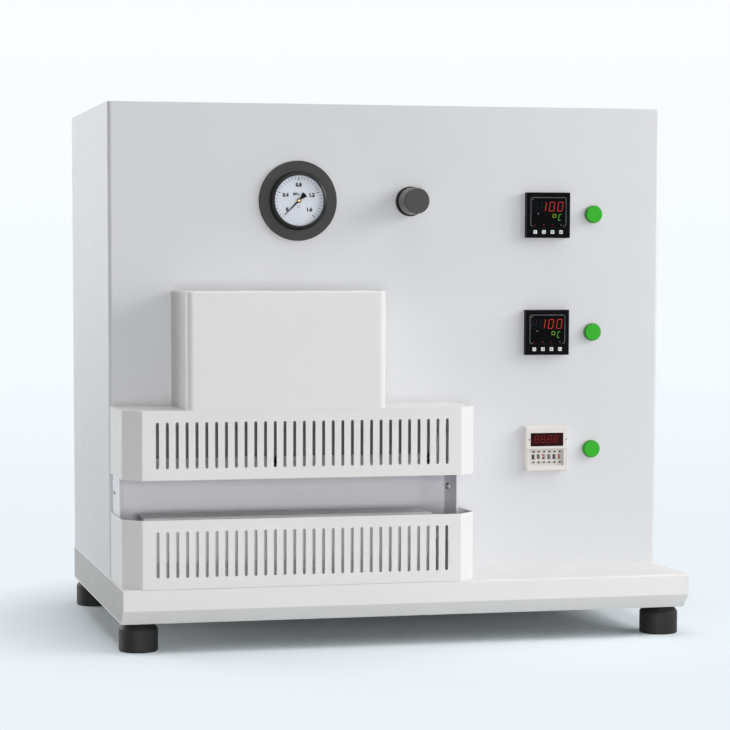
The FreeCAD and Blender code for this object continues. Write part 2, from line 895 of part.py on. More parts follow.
def air_cylinder():
    """Square cylinder body with its bore, rod hole and ports, and bolt heads at the corners."""
    half = cylinder_side / 2.0
    top = cylinder_z + cylinder_length
    body = box(
        jaw_centre_x - half, jaw_centre_x + half, jaw_middle_y - half, jaw_middle_y + half, cylinder_z, top)
    body = body.makeChamfer(cylinder_chamfer, edges_along(body, Vector(0, 0, 1), lambda middle: True))
    floor, ceiling = cylinder_chamber_z()
    body = body.cut(rod_z(jaw_centre_x, jaw_middle_y, bore_radius, floor, ceiling))
    body = body.cut(rod_z(jaw_centre_x, jaw_middle_y, rod_radius + piston_fit, cylinder_z - 1, floor + 1))
    reach = half - bolt_inset
    for sx in (-1, 1):
        for sy in (-1, 1):
            x = jaw_centre_x + sx * reach
            y = jaw_middle_y + sy * reach
            body = body.fuse(rod_z(x, y, bolt_radius, top, top + bolt_height))
    for z in port_heights():
        port = rod_y(jaw_centre_x, z, port_radius - 1.0, jaw_middle_y, jaw_middle_y + half + 1)
        body = body.cut(port)
    return body


def cylinder_fittings():
    """Push-in fittings screwed into the cylinder's ports, reaching through the panel."""
    fittings = []
    start = jaw_middle_y + cylinder_side / 2.0
    for z in port_heights():
        thread = rod_y(jaw_centre_x, z, port_radius - 1.0, start - 5.0, start)
        barrel = rod_y(jaw_centre_x, z, port_radius, start, start + 2.0 * port_length)
        bore = rod_y(jaw_centre_x, z, 2.0, start - 6.0, start + 2.0 * port_length + 1)
        fittings.append(thread.fuse(barrel).cut(bore).removeSplitter())
    return fittings


def guide_bushes():
    """Flanged bushes in the bracket in which the guide rods run."""
    bushes = []
    for x in guide_places:
        top = bracket_z + bracket_plate
        body = rod_z(x, jaw_middle_y, bush_radius, bracket_z, top + bush_length - bracket_plate)
        flange = rod_z(x, jaw_middle_y, bush_flange_radius, top, top + bush_flange)
        bore = rod_z(x, jaw_middle_y, guide_radius + guide_fit, bracket_z - 1, top + bush_length)
        bushes.append(body.fuse(flange).cut(bore).removeSplitter())
    return Part.makeCompound(bushes)


def cover_block(inset, bottom, top, back):
    """Solid with the cover's plan and rounded corners, moved inwards by an inset."""
    left = cover_centre_x - cover_width / 2.0 + inset
    right = cover_centre_x + cover_width / 2.0 - inset
    front = panel_y - cover_depth + inset
    block = box(left, right, front, back, bottom, top)
    uprights = edges_along(block, Vector(0, 0, 1), lambda middle: middle.y < front + 1)
    return block.makeFillet(cover_bend - inset, uprights)


def cylinder_cover():
    """Folded cover over the air cylinder, open at the bottom and against the panel."""
    bottom = base_top + cover_bottom
    top = base_top + cover_top
    outer = cover_block(0.0, bottom, top, panel_y)
    rim = [
        edge for edge in outer.Edges
        if abs(edge.BoundBox.ZMin - top) < 1e-6 and edge.BoundBox.YMin < panel_y - 1
    ]
    outer = outer.makeFillet(cover_top_bend, rim)
    return outer.cut(cover_block(cover_sheet, bottom - 1, top - cover_sheet, panel_y + 1))


# Pressure gauge

def gauge_case():
    """Case of the gauge: front flange on the panel, drum behind it and threaded stem."""
    solid = rod_y(gauge_x, gauge_height, gauge_flange_radius, panel_y - gauge_flange, panel_y)
    rim = [edge for edge in solid.Edges if abs(edge.CenterOfMass.y - panel_y + gauge_flange) < 1e-6]
    solid = solid.makeChamfer(0.5, rim)
    solid = solid.fuse(rod_y(gauge_x, gauge_height, gauge_case_radius, panel_y, panel_y + gauge_case_depth))
    back = panel_y + gauge_case_depth
    solid = solid.fuse(rod_y(gauge_x, gauge_height, gauge_stem_radius, back, back + gauge_stem))
    floor = dial_back_y()
    front = panel_y - gauge_flange
    if floor > front:
        solid = solid.cut(rod_y(gauge_x, gauge_height, gauge_lens_radius, front - 1, floor))
    else:
        solid = solid.fuse(rod_y(gauge_x, gauge_height, gauge_lens_radius, floor, front))
    hole = pointer_spindle_radius + shaft_fit
    solid = solid.cut(rod_y(gauge_x, gauge_height, hole, floor - 1, floor + 6.0))
    return solid.removeSplitter()


def bezel_front_y():
    """Depth of the front of the gauge's bezel."""
    return panel_y - gauge_flange - gauge_bezel_height


def lens_front_y():
    """Depth of the lens's front face, just under the bezel's lip."""
    return bezel_front_y() + 0.7


def dial_front_y():
    """Depth of the dial's front face."""
    return lens_front_y() + gauge_lens + gauge_dial_depth


def dial_back_y():
    """Depth of the dial's back face, where it rests on the case."""
    return dial_front_y() + gauge_dial


def gauge_bezel():
    """Rounded bezel ring with a lip over the lens."""
    height = gauge_bezel_height
    profile = [
        (gauge_bezel_radius, 0.0),
        (gauge_bezel_radius - 0.6, -0.6 * height),
        (gauge_bezel_radius - 1.6, -0.88 * height),
        (gauge_bezel_radius - 2.9, -height),
        (gauge_view_radius, -height),
        (gauge_view_radius, -height + 0.7),
        (gauge_lens_radius + 0.1, -height + 0.7),
        (gauge_lens_radius + 0.1, 0.0),
    ]
    return turned(profile, gauge_x, gauge_height, panel_y - gauge_flange)


def gauge_dial_plate():
    """Round dial plate with a hole for the pointer's spindle."""
    dial = rod_y(gauge_x, gauge_height, gauge_lens_radius - 0.2, dial_front_y(), dial_back_y())
    hole = rod_y(gauge_x, gauge_height, pointer_spindle_radius + 0.3, dial_front_y() - 1, dial_back_y() + 1)
    return dial.cut(hole)


def gauge_lens_disc():
    """Flat clear disc under the bezel's lip."""
    y = lens_front_y()
    return rod_y(gauge_x, gauge_height, gauge_lens_radius, y, y + gauge_lens)


def gauge_pointer():
    """Pointer at zero: tapered hand, fan-shaped tail, hub and spindle."""
    back = dial_front_y() - 0.6
    front = back - pointer_thickness
    outline = [
        (0.25, pointer_length),
        (0.9, 2.0),
        (0.9, -3.0),
        (pointer_tail_width / 2.0, -pointer_tail + 0.6),
        (0.0, -pointer_tail),
    ]
    outline += [(-side, along) for side, along in outline[-2::-1]]
    points = [Vector(side, front, along) for side, along in outline]
    hand = Part.Face(Part.makePolygon(points + [points[0]])).extrude(Vector(0, pointer_thickness, 0))
    hand.rotate(Vector(0, 0, 0), Vector(0, 1, 0), pointer_zero_angle)
    hand.translate(Vector(gauge_x, 0, gauge_height))
    hub = rod_y(gauge_x, gauge_height, pointer_hub_radius, front - 0.4, back)
    spindle = rod_y(gauge_x, gauge_height, pointer_spindle_radius, front - 0.8, dial_back_y() + 5.0)
    return hand.fuse([hub, spindle]).removeSplitter()


# Pressure regulator

def regulator_body():
    """Regulator behind the panel, with its threaded neck and the nut on the panel's front."""
    inside = panel_y + body_sheet
    drum = rod_y(knob_x, gauge_height, regulator_body_radius, inside, inside + regulator_depth)
    neck = rod_y(knob_x, gauge_height, regulator_neck_radius, panel_y, inside)
    nut = rod_y(knob_x, gauge_height, knob_nut_radius, panel_y - knob_nut, panel_y)
    rim = [edge for edge in nut.Edges if abs(edge.CenterOfMass.y - panel_y + knob_nut) < 1e-6]
    nut = nut.makeChamfer(0.6, rim)
    ports = rod_x(
        inside + regulator_depth * 0.7, gauge_height, regulator_port_radius,
        knob_x - regulator_port_reach, knob_x + regulator_port_reach)
    body = drum.fuse([neck, nut, ports])
    socket_end = panel_y - knob_nut - knob_gap + knob_shaft_length + 1.0
    socket = rod_y(knob_x, gauge_height, knob_shaft_radius + shaft_fit, panel_y - knob_nut - 1, socket_end)
    return body.cut(socket).removeSplitter()


def regulator_knob():
    """Knob with a rimmed face, a barrel that widens to the back, a narrow neck and its shaft."""
    back = panel_y - knob_nut - knob_gap
    front = panel_y - knob_reach - back
    profile = [
        (0.0, front),
        (knob_face_radius - knob_edge, front),
        (knob_face_radius, front + knob_edge),
        (knob_face_radius, front + knob_rim),
        (knob_waist_radius, front + knob_rim),
        (knob_base_radius, -knob_neck),
        (knob_neck_radius, -knob_neck),
        (knob_neck_radius, 0.0),
        (0.0, 0.0),
    ]
    knob = turned(profile, knob_x, gauge_height, back)
    shaft = rod_y(knob_x, gauge_height, knob_shaft_radius, back, back + knob_shaft_length)
    return knob.fuse(shaft)


# Instruments

def instrument_blank(z):
    """Square front bezel with broken edges and the narrower body behind the panel."""
    front = panel_y - instrument_reach
    bezel = centred_box(instrument_x, z, instrument_side, instrument_side, front, panel_y)
    rim = [edge for edge in bezel.Edges if abs(edge.CenterOfMass.y - front) < 1e-6]
    bezel = bezel.makeChamfer(instrument_chamfer, rim)
    back = panel_y + instrument_depth
    return bezel.fuse(centred_box(instrument_x, z, instrument_body, instrument_body, panel_y, back))


def key_places(z):
    """Positions of the four keys under a controller's display."""
    return [(instrument_x + key_x + key_pitch * (step - 1.5), z + key_z) for step in range(4)]


def controller_case(z):
    """Temperature controller with a seat for its display and a pocket for each key."""
    front = panel_y - instrument_reach
    case = instrument_blank(z)
    seat_width = display_width + 2 * display_fit
    seat_height = display_height + 2 * display_fit
    case = case.cut(centred_box(
        instrument_x + display_x, z + display_z, seat_width, seat_height,
        front - 1, front + display_thickness))
    pocket = key_side + 2 * key_fit
    pocket_depth = key_length - key_proud + key_travel + key_fit
    for x, key_height in key_places(z):
        case = case.cut(centred_box(x, key_height, pocket, pocket, front - 1, front + pocket_depth))
    return case


def display_window(z):
    """Flat display window in a controller's face."""
    front = panel_y - instrument_reach
    return centred_box(
        instrument_x + display_x, z + display_z, display_width, display_height,
        front, front + display_thickness)


def controller_key(x, z):
    """Square key that stands a little proud of the controller's face."""
    front = panel_y - instrument_reach - key_proud
    key = centred_box(x, z, key_side, key_side, front, front + key_length)
    rim = [edge for edge in key.Edges if abs(edge.CenterOfMass.y - front) < 1e-6]
    return key.makeChamfer(0.3, rim)


def timer_floor_y():
    """Depth of the floor of the timer's recess."""
    return panel_y - instrument_reach + timer_recess_depth


def wheel_axis():
    """Depth and height of the axle that the timer's number wheels turn on."""
    return timer_floor_y() + wheel_drop + wheel_radius, row_heights[2] + timer_recess_z


def wheel_centres():
    """Places along X of the timer's number wheels."""
    middle = (wheel_count - 1) / 2.0
    return [instrument_x + wheel_x + wheel_pitch * (place - middle) for place in range(wheel_count)]


def timer_case():
    """Timer with a display seat and a recess in which the number wheels show."""
    z = row_heights[2]
    front = panel_y - instrument_reach
    floor = timer_floor_y()
    axis_y, axis_z = wheel_axis()
    case = instrument_blank(z)
    case = case.cut(centred_box(
        instrument_x, z + timer_window_z, timer_window_width + 2 * display_fit,
        timer_window_height + 2 * display_fit, front - 1, front + display_thickness))
    case = case.cut(centred_box(
        instrument_x + timer_recess_x, z + timer_recess_z, timer_recess_width, timer_recess_height,
        front - 1, floor))
    centres = wheel_centres()
    half = wheel_width / 2.0 + wheel_room
    room = rod_x(axis_y, axis_z, wheel_radius + wheel_room, centres[0] - half, centres[-1] + half)
    case = case.cut(room)
    for x in centres:
        case = case.cut(centred_box(x, axis_z, wheel_width, wheel_window_height, floor - 1, axis_y))
        for side in (-1, 1):
            button = centred_box(
                x, axis_z + side * digit_button_offset, digit_button_width, digit_button_height,
                floor - digit_button_proud, floor + 0.5)
            case = case.fuse(button)
    axle = rod_x(axis_y, axis_z, wheel_axle_radius, centres[0] - half - 1.0, centres[-1] + half + 1.0)
    return case.fuse(axle).removeSplitter()


def timer_window():
    """Display window of the timer."""
    front = panel_y - instrument_reach
    return centred_box(
        instrument_x, row_heights[2] + timer_window_z, timer_window_width, timer_window_height,
        front, front + display_thickness)


def number_wheel(x):
    """Number wheel of the timer, with one flat for each digit."""
    axis_y, axis_z = wheel_axis()
    points = []
    for face in range(wheel_faces):
        angle = 2.0 * math.pi * (face + 0.5) / wheel_faces
        y = axis_y - wheel_radius * math.cos(angle)
        points.append(Vector(x - wheel_width / 2.0, y, axis_z + wheel_radius * math.sin(angle)))
    wheel = Part.Face(Part.makePolygon(points + [points[0]])).extrude(Vector(wheel_width, 0, 0))
    bore = rod_x(axis_y, axis_z, wheel_axle_radius + wheel_fit, x - wheel_width, x + wheel_width)
    return wheel.cut(bore)


# Push buttons

def switch_body(z):
    """Collar on the panel with a well for the cap, and the threaded switch body behind."""
    collar = rod_y(button_x, z, collar_radius, panel_y - collar_reach, panel_y)
    rim = [edge for edge in collar.Edges if abs(edge.CenterOfMass.y - panel_y + collar_reach) < 1e-6]
    collar = collar.makeChamfer(0.3, rim)
    body = rod_y(button_x, z, switch_radius, panel_y, panel_y + switch_depth)
    nut_y = panel_y + body_sheet
    nut = rod_y(button_x, z, switch_nut_radius, nut_y, nut_y + switch_nut)
    solid = collar.fuse([body, nut])
    solid = solid.cut(rod_y(button_x, z, cap_radius + cap_fit, panel_y - collar_reach - 1, cap_floor_y()))
    stem_hole_end = stem_end_y() + button_travel + 1
    solid = solid.cut(rod_y(button_x, z, stem_radius + cap_fit, cap_floor_y() - 1, stem_hole_end))
    return solid.removeSplitter()


def cap_floor_y():
    """Depth of the floor of a collar's well."""
    return panel_y - collar_floor


def stem_end_y():
    """Depth of the end of a cap's stem."""
    return panel_y + stem_length


def button_cap(z):
    """Round green cap with a broken edge and the stem that works the switch."""
    front = panel_y - cap_reach
    back = cap_floor_y() - button_travel - 0.1
    cap = rod_y(button_x, z, cap_radius, front, back)
    rim = [edge for edge in cap.Edges if abs(edge.CenterOfMass.y - front) < 1e-6]
    cap = cap.makeFillet(cap_edge, rim)
    stem = rod_y(button_x, z, stem_radius, back, stem_end_y())
    return cap.fuse(stem)


# Rear fittings

def power_inlet():
    """Power inlet with its socket, earth and two pins, and the well of its rocker switch."""
    z = base_top + inlet_z
    flange = centred_box(inlet_x, z, inlet_width, inlet_height, rear_y, rear_y + inlet_flange)
    corners = edges_along(flange, Vector(0, 1, 0), lambda middle: True)
    flange = flange.makeFillet(inlet_corner, corners)
    width = inlet_width - 2 * inlet_rim - seat_clearance
    height = inlet_height - 2 * inlet_rim - seat_clearance
    body = centred_box(inlet_x, z, width, height, rear_y - inlet_depth, rear_y)
    inlet = flange.fuse(body)
    face = rear_y + inlet_flange
    well = centred_box(inlet_x, z + socket_z, socket_width, socket_height, face - socket_depth, face + 1)
    tops = edges_along(well, Vector(0, 1, 0), lambda middle: middle.z > z + socket_z)
    inlet = inlet.cut(well.makeChamfer(socket_corner, tops))
    for side in (-1, 0, 1):
        pin_z = z + socket_z + (pin_rise if side == 0 else -pin_rise) / 2.0
        pin_x = inlet_x + side * pin_spread / 2.0
        floor = face - socket_depth
        inlet = inlet.fuse(centred_box(pin_x, pin_z, pin_width, pin_height, floor - 1, floor + pin_length))
    room_width = rocker_width + 2 * rocker_fit
    room_height = rocker_height + 2 * rocker_fit
    axis_y = rocker_axis_y()
    room = centred_box(
        inlet_x, z + rocker_z, room_width, room_height, axis_y - rocker_radius - rocker_fit, face + 1)
    inlet = inlet.cut(room)
    for side in (-1, 1):
        start = inlet_x + side * (room_width / 2.0 - 1.0) - 2.0
        inlet = inlet.fuse(rod_x(axis_y, z + rocker_z, rocker_pin_radius, start, start + 4.0))
    return inlet.removeSplitter()


def rocker_axis_y():
    """Depth of the rocker's axis, a little behind the inlet's face."""
    return rear_y + inlet_flange - 3.0


def power_rocker():
    """Rocker of the power switch at off: two slanted pads that meet over its axis, tilted."""
    z = base_top + inlet_z + rocker_z
    axis_y = rocker_axis_y()
    half = rocker_height / 2.0 - 0.6
    face = rear_y + inlet_flange
    points = [
        Vector(0, face + rocker_proud, z + half),
        Vector(0, face + 0.8, z),
        Vector(0, face + rocker_proud, z - half),
        Vector(0, axis_y - 1.0, z - half),
        Vector(0, axis_y - 4.0, z - half / 2.0),
        Vector(0, axis_y - 4.0, z + half / 2.0),
        Vector(0, axis_y - 1.0, z + half),
    ]
    rocker = Part.Face(Part.makePolygon(points + [points[0]])).extrude(Vector(rocker_width, 0, 0))
    rocker.translate(Vector(inlet_x - rocker_width / 2.0, 0, 0))
    bore = rod_x(axis_y, z, rocker_pin_radius + shaft_fit, inlet_x - rocker_width, inlet_x + rocker_width)
    rocker = rocker.cut(bore)
    rocker.rotate(Vector(inlet_x, axis_y, z), Vector(1, 0, 0), -rocker_tilt)
    return rocker


def air_inlet():
    """Push-in bulkhead fitting for the air supply tube."""
    z = base_top + air_z
    outer = rod_y(air_x, z, air_flange_radius, rear_y, rear_y + air_flange)
    barrel = rod_y(air_x, z, air_body_radius, rear_y - air_inner, rear_y + rear_reach)
    rim = [edge for edge in barrel.Edges if abs(edge.CenterOfMass.y - rear_y - rear_reach) < 1e-6]
    barrel = barrel.makeChamfer(1.0, rim)
    bore_start = rear_y + rear_reach - air_tube_depth
    bore = rod_y(air_x, z, air_tube_radius, bore_start, rear_y + rear_reach + 1)
    nut_y = rear_y - body_sheet
    nut = rod_y(air_x, z, air_flange_radius, nut_y - 4.0, nut_y)
    return barrel.fuse([outer, nut]).cut(bore).removeSplitter()


def exhaust_silencer():
    """Sintered exhaust silencer with a hexagonal foot."""
    z = base_top + air_z
    points = []
    for corner in range(7):
        angle = math.pi * corner / 3.0
        points.append(Vector(
            silencer_x + (silencer_radius + 1.0) * math.cos(angle), rear_y,
            z + (silencer_radius + 1.0) * math.sin(angle)))
    hexagon = Part.Face(Part.makePolygon(points)).extrude(Vector(0, silencer_flange, 0))
    drum = rod_y(silencer_x, z, silencer_radius, rear_y + silencer_flange, rear_y + silencer_reach)
    rim = [edge for edge in drum.Edges if abs(edge.CenterOfMass.y - rear_y - silencer_reach) < 1e-6]
    drum = drum.makeFillet(2.0, rim)
    thread = rod_y(silencer_x, z, silencer_radius - silencer_thread_depth, rear_y - silencer_thread, rear_y)
    return hexagon.fuse([drum, thread]).removeSplitter()


def rear_fittings():
    """Air inlet and exhaust silencer, side by side low on the rear panel."""
    return Part.makeCompound([air_inlet(), exhaust_silencer()])


def solenoid_valve():
    """Solenoid valve that works the air cylinder, on a foot plate over the back of the base."""
    y = rear_y - valve_setback
    left = valve_x - valve_length / 2.0
    right = left + valve_length
    foot_top = base_top + valve_foot
    body_top_z = foot_top + valve_height
    half = valve_width / 2.0
    plate_back = rear_y - base_opening_inset / 2.0
    foot_plate = box(left - half, right + half, y - valve_width, plate_back, base_top, foot_top)
    body = box(left, right, y - half, y + half, foot_top, body_top_z)
    coil_left = left + valve_coil_inset
    coil_top = body_top_z + valve_coil
    coil = box(coil_left, coil_left + valve_coil, y - half + 1.0, y + half - 1.0, body_top_z, coil_top)
    valve = foot_plate.fuse([body, coil])
    for share in (0.45, 0.65, 0.85):
        x = left + valve_length * share
        z = foot_top + valve_height / 2.0
        valve = valve.fuse(rod_y(x, z, valve_port_radius, y + half, y + half + valve_port_length))
    return valve.removeSplitter()


def both_sides(maker):
    """Left and right copy of a piece in one group."""
    return Part.makeCompound([maker(-1), maker(1)])


def write_nodes(nodes):
    """Write one STEP file for each named piece."""
    os.makedirs("parts", exist_ok=True)
    for name, shape in nodes.items():
        shape.exportStep("parts/" + name + ".step")


nodes = {
    "base_shell": base_shell(),
    "base_ends": both_sides(base_end),
    "feet": Part.makeCompound([foot(x, y) for x, y in foot_places()]),
    "cabinet_wrap": cabinet_wrap(),
    "top_lid": top_lid(),
    "rear_panel": rear_panel(),
    "case_screws": case_screws(),
    "jaw_frame": jaw_frame(),
    "lead_grommets": lead_grommets(),
    "lower_guard": lower_guard(),
    "upper_guard": upper_guard(),
    "cylinder_cover": cylinder_cover(),
    "cylinder_bracket": cylinder_bracket(),
    "air_cylinder": Part.makeCompound([air_cylinder()] + cylinder_fittings()),
    "guide_bushes": guide_bushes(),
    "lower_mount_plate": lower_mount_plate(),
    "lower_insulation": jaw_block(base_top + lower_plate, lower_insulation),
    "lower_heater_block": drilled_block(base_top + lower_plate + lower_insulation, lower_block),
    "lower_heaters": cartridge_heaters(base_top + lower_plate + lower_insulation + lower_block / 2.0),
    "lower_jaw_face": face_bar(lower_top_z - jaw_face, lower_top_z),
    "upper_jaw_face": face_bar(upper_bottom_z, upper_bottom_z),
    "upper_heater_block": drilled_block(upper_block_z, upper_block),
    "upper_heaters": cartridge_heaters(upper_block_z + upper_block / 2.0),
    "upper_insulation": jaw_block(upper_insulation_z, upper_insulation),
    "jaw_carrier": jaw_carrier(),
    "piston_rod": piston_rod(),
    "guide_rods": guide_rods(),
    "gauge_case": gauge_case(),
    "gauge_bezel": gauge_bezel(),
    "gauge_dial": gauge_dial_plate(),
    "gauge_lens": gauge_lens_disc(),
    "gauge_pointer": gauge_pointer(),
    "regulator_body": regulator_body(),
    "regulator_knob": regulator_knob(),
    "controller_cases": Part.makeCompound([controller_case(z) for z in row_heights[:2]]),
    "controller_windows": Part.makeCompound([display_window(z) for z in row_heights[:2]]),
    "timer_case": timer_case(),
    "timer_window": timer_window(),
    "switch_bodies": Part.makeCompound([switch_body(z) for z in button_heights]),
    "power_inlet": power_inlet(),
    "power_rocker": power_rocker(),
    "rear_fittings": rear_fittings(),
    "solenoid_valve": solenoid_valve(),
}
for row, z in zip(("upper", "lower"), row_heights):
    for place, (x, key_height) in enumerate(key_places(z), start=1):
        nodes[f"{row}_key_{place}"] = controller_key(x, key_height)
for place, x in enumerate(wheel_centres(), start=1):
    nodes[f"number_wheel_{place}"] = number_wheel(x)
for name, z in zip(("upper_heat_button", "lower_heat_button", "seal_button"), button_heights):
    nodes[name] = button_cap(z)

write_nodes(nodes)
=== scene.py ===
import logging
import math
from dataclasses import dataclass
from enum import Enum
from functools import cache
from typing import ClassVar

import bmesh
import bpy
from mathutils import Matrix, Vector


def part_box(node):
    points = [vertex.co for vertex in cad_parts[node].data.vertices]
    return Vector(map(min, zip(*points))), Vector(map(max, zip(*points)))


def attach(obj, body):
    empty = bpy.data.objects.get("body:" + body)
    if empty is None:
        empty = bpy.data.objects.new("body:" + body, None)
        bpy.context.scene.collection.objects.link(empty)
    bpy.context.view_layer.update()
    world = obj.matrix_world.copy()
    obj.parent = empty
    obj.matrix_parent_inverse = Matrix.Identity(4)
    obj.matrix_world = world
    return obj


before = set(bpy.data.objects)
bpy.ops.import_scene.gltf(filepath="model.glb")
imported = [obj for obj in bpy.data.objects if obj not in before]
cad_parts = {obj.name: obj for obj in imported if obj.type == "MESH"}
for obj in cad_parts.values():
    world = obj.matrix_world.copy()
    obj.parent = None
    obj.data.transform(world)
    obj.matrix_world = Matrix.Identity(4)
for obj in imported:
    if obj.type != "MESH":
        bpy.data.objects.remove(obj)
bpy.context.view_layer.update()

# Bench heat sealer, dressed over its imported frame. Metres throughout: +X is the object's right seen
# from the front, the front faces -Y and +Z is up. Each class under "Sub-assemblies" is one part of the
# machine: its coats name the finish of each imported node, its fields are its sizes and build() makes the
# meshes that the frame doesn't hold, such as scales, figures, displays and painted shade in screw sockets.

MM = 0.001
SKIN = 0.08 * MM
log = logging.getLogger("heat_sealer")

Pair = tuple[float, float]
Triple = tuple[float, float, float]
Colour = Triple
Socket = bpy.types.NodeSocket
Coats = dict[str, tuple[str, ...]]
EVEN = (1.0, 1.0, 1.0)
MERGE = 1e-7
SMOOTH_ANGLE = math.radians(32)
CAP_HEIGHT = 0.7
RING_CORNER = 0.42
BLOCK_STEPS = 2
RIM_STEPS = 3
CORNER_STEPS = 4
FIGURE_STEPS = 3
DRUM_SIDES = 32
DOT_SIDES = 16


class Facing(Enum):
    """Ways that a piece can face."""

    FRONT = Matrix.Rotation(math.radians(90), 4, "X")
    UP = Matrix.Identity(4)
    RIGHT = Matrix.Rotation(math.radians(90), 4, "Y")
    LEFT = Matrix.Rotation(math.radians(-90), 4, "Y")


class Lay(Enum):
    """Direction of the fine lines on a worked metal surface, as noise scales along each axis."""

    ALONG_X = (6.0, 900.0, 900.0)
    ALONG_Y = (900.0, 6.0, 900.0)
    ALONG_Z = (900.0, 900.0, 6.0)


# Finishes

def shade(colour: Colour, factor: float) -> Colour:
    """Colour times a factor, with no part above 1."""
    return tuple(min(1.0, part * factor) for part in colour)


class NodeSheet:
    """Shader nodes of one tree, added and joined by short calls."""

    def __init__(self, tree: bpy.types.NodeTree, places: str = "Object") -> None:
        """Start on a tree, with one kind of coordinates."""
        self.tree = tree
        self.places = self.add("TexCoord").outputs[places]

    def add(self, kind: str, *sources: Socket, **settings: str) -> bpy.types.Node:
        """Add one node, with sockets led to its first inputs.

        Args:
            kind: Kind of shader node.
            sources: Sockets that lead to its inputs, in their order.
            settings: Values of its own settings.

        Returns:
            The node.
        """
        node = self.tree.nodes.new("ShaderNode" + kind)
        for name, value in settings.items():
            setattr(node, name, value)
        for source, target in zip(sources, node.inputs):
            self.join(source, target)
        return node

    def join(self, source: Socket, target: Socket) -> None:
        """Lead one socket to another."""
        self.tree.links.new(source, target)

    def noise(self, grain: Pair, stretch: Triple = EVEN) -> Socket:
        """Add a noise texture.

        Args:
            grain: Grains per metre and octaves of finer grain.
            stretch: Factor on each axis before the noise is read.

        Returns:
            The noise's factor output.
        """
        mapping = self.add("Mapping", self.places)
        mapping.inputs["Scale"].default_value = stretch
        texture = self.add("TexNoise", mapping.outputs["Vector"])
        texture.inputs["Scale"].default_value, texture.inputs["Detail"].default_value = grain
        return texture.outputs["Fac"]

    def spread(self, source: Socket, result: Pair = (0.0, 1.0), over: Pair = (0.3, 0.7)) -> Socket:
        """Map a factor from one range to another.

        Args:
            source: Factor to map.
            result: Range that it is mapped to.
            over: Range that it is mapped from.

        Returns:
            The mapped value's output.
        """
        node = self.add("MapRange", source)
        for name, value in zip(("From Min", "From Max", "To Min", "To Max"), (*over, *result)):
            node.inputs[name].default_value = value
        return node.outputs["Result"]

    def blend(self, source: Socket, first: Colour | Socket, second: Colour | Socket) -> Socket:
        """Mix two colours by a factor.

        Args:
            source: Factor from 0, first, to 1, second.
            first: Linear colour, or an output that gives one.
            second: Linear colour, or an output that gives one.

        Returns:
            The mixed colour's output.
        """
        node = self.add("Mix", source, data_type="RGBA")
        colour_inputs = [socket for socket in node.inputs if socket.type == "RGBA"]
        for socket, value in zip(colour_inputs, (first, second)):
            if isinstance(value, tuple):
                socket.default_value = (*value, 1.0)
            else:
                self.join(value, socket)
        return next(socket for socket in node.outputs if socket.type == "RGBA")

    def direct_rays(self) -> Socket:
        """Add a factor for the rays that show something directly.

        Returns:
            The factor's output, 1 for camera, glossy and transmission rays.
        """
        rays = self.add("LightPath").outputs
        direct = rays["Is Camera Ray"]
        for kind in ("Is Glossy Ray", "Is Transmission Ray"):
            direct = self.add("Math", direct, rays[kind], operation="MAXIMUM").outputs[0]
        return direct

    def end(self, output: str, source: Socket, first: Socket, second: Socket) -> None:
        """Lead a mix of two shaders, by a factor from 0 to 1, to the tree's output node."""
        mix = self.add("MixShader", source, first, second)
        self.join(mix.outputs[0], self.tree.nodes[output].inputs["Surface"])


class Coat(NodeSheet):
    """Nodes of one material, which start from a principled shader."""

    def __init__(self, name: str) -> None:
        """Start a material on object coordinates.

        Args:
            name: Name of the material.
        """
        self.material = bpy.data.materials.new(name)
        self.material.use_nodes = True
        super().__init__(self.material.node_tree)
        self.shader = self.tree.nodes["Principled BSDF"]

    def set(self, **values: float | Colour) -> None:
        """Write plain values on the shader's own sockets.

        Args:
            values: Socket names with underscores for blanks, and what each is set to.
        """
        for name, value in values.items():
            socket = self.shader.inputs[name.replace("_", " ")]
            socket.default_value = (*value, 1.0) if isinstance(value, tuple) else value

    def bump(self, height: Socket, depth: float) -> None:
        """Raise the surface.

        Args:
            height: Factor of the depth at each place.
            depth: Rise where the factor is 1.
        """
        node = self.add("Bump")
        node.inputs["Distance"].default_value = depth
        self.join(height, node.inputs["Height"])
        self.join(node.outputs["Normal"], self.shader.inputs["Normal"])

    def mottled(self, clouds: Socket, colour: Colour, factors: Pair) -> Socket:
        """Mix a colour's darker and lighter shade by clouds."""
        return self.blend(clouds, *(shade(colour, factor) for factor in factors))

    def colour(self, source: Socket) -> None:
        """Drive the base colour."""
        self.join(source, self.shader.inputs["Base Color"])

    def roughness(self, source: Socket) -> None:
        """Drive the roughness."""
        self.join(source, self.shader.inputs["Roughness"])


@dataclass(frozen=True)
class Finish:
    """A finish with clouds in its colour, smears in its sheen and a fine grain raised on it."""

    name: str
    colour: Colour
    rough: float = 0.45
    metal: float = 0.0
    sheen: float = 0.5
    cloud: Pair = (90.0, 4.0)
    mottle: Pair = (0.95, 1.05)
    smear: Pair = (240.0, 4.0)
    smear_reach: Pair = (-0.05, 0.07)
    grain: Pair = (900.0, 2.0)
    depth: float = 0.02 * MM

    def clouded(self, sheet: Coat) -> Socket:
        """Colour with its clouds."""
        return sheet.mottled(sheet.spread(sheet.noise(self.cloud)), self.colour, self.mottle)

    def relief(self, sheet: Coat) -> tuple[Socket, Socket]:
        """Noises that drive the sheen and the fine grain."""
        return sheet.noise(self.smear), sheet.noise(self.grain)

    def material(self) -> bpy.types.Material:
        """Make the finish's material.

        Returns:
            The material.
        """
        sheet = Coat(self.name)
        sheet.colour(self.clouded(sheet))
        smears, raised = self.relief(sheet)
        sheet.roughness(sheet.spread(smears, tuple(self.rough + change for change in self.smear_reach)))
        sheet.bump(raised, self.depth)
        sheet.set(Metallic=self.metal, Specular_IOR_Level=self.sheen)
        return sheet.material


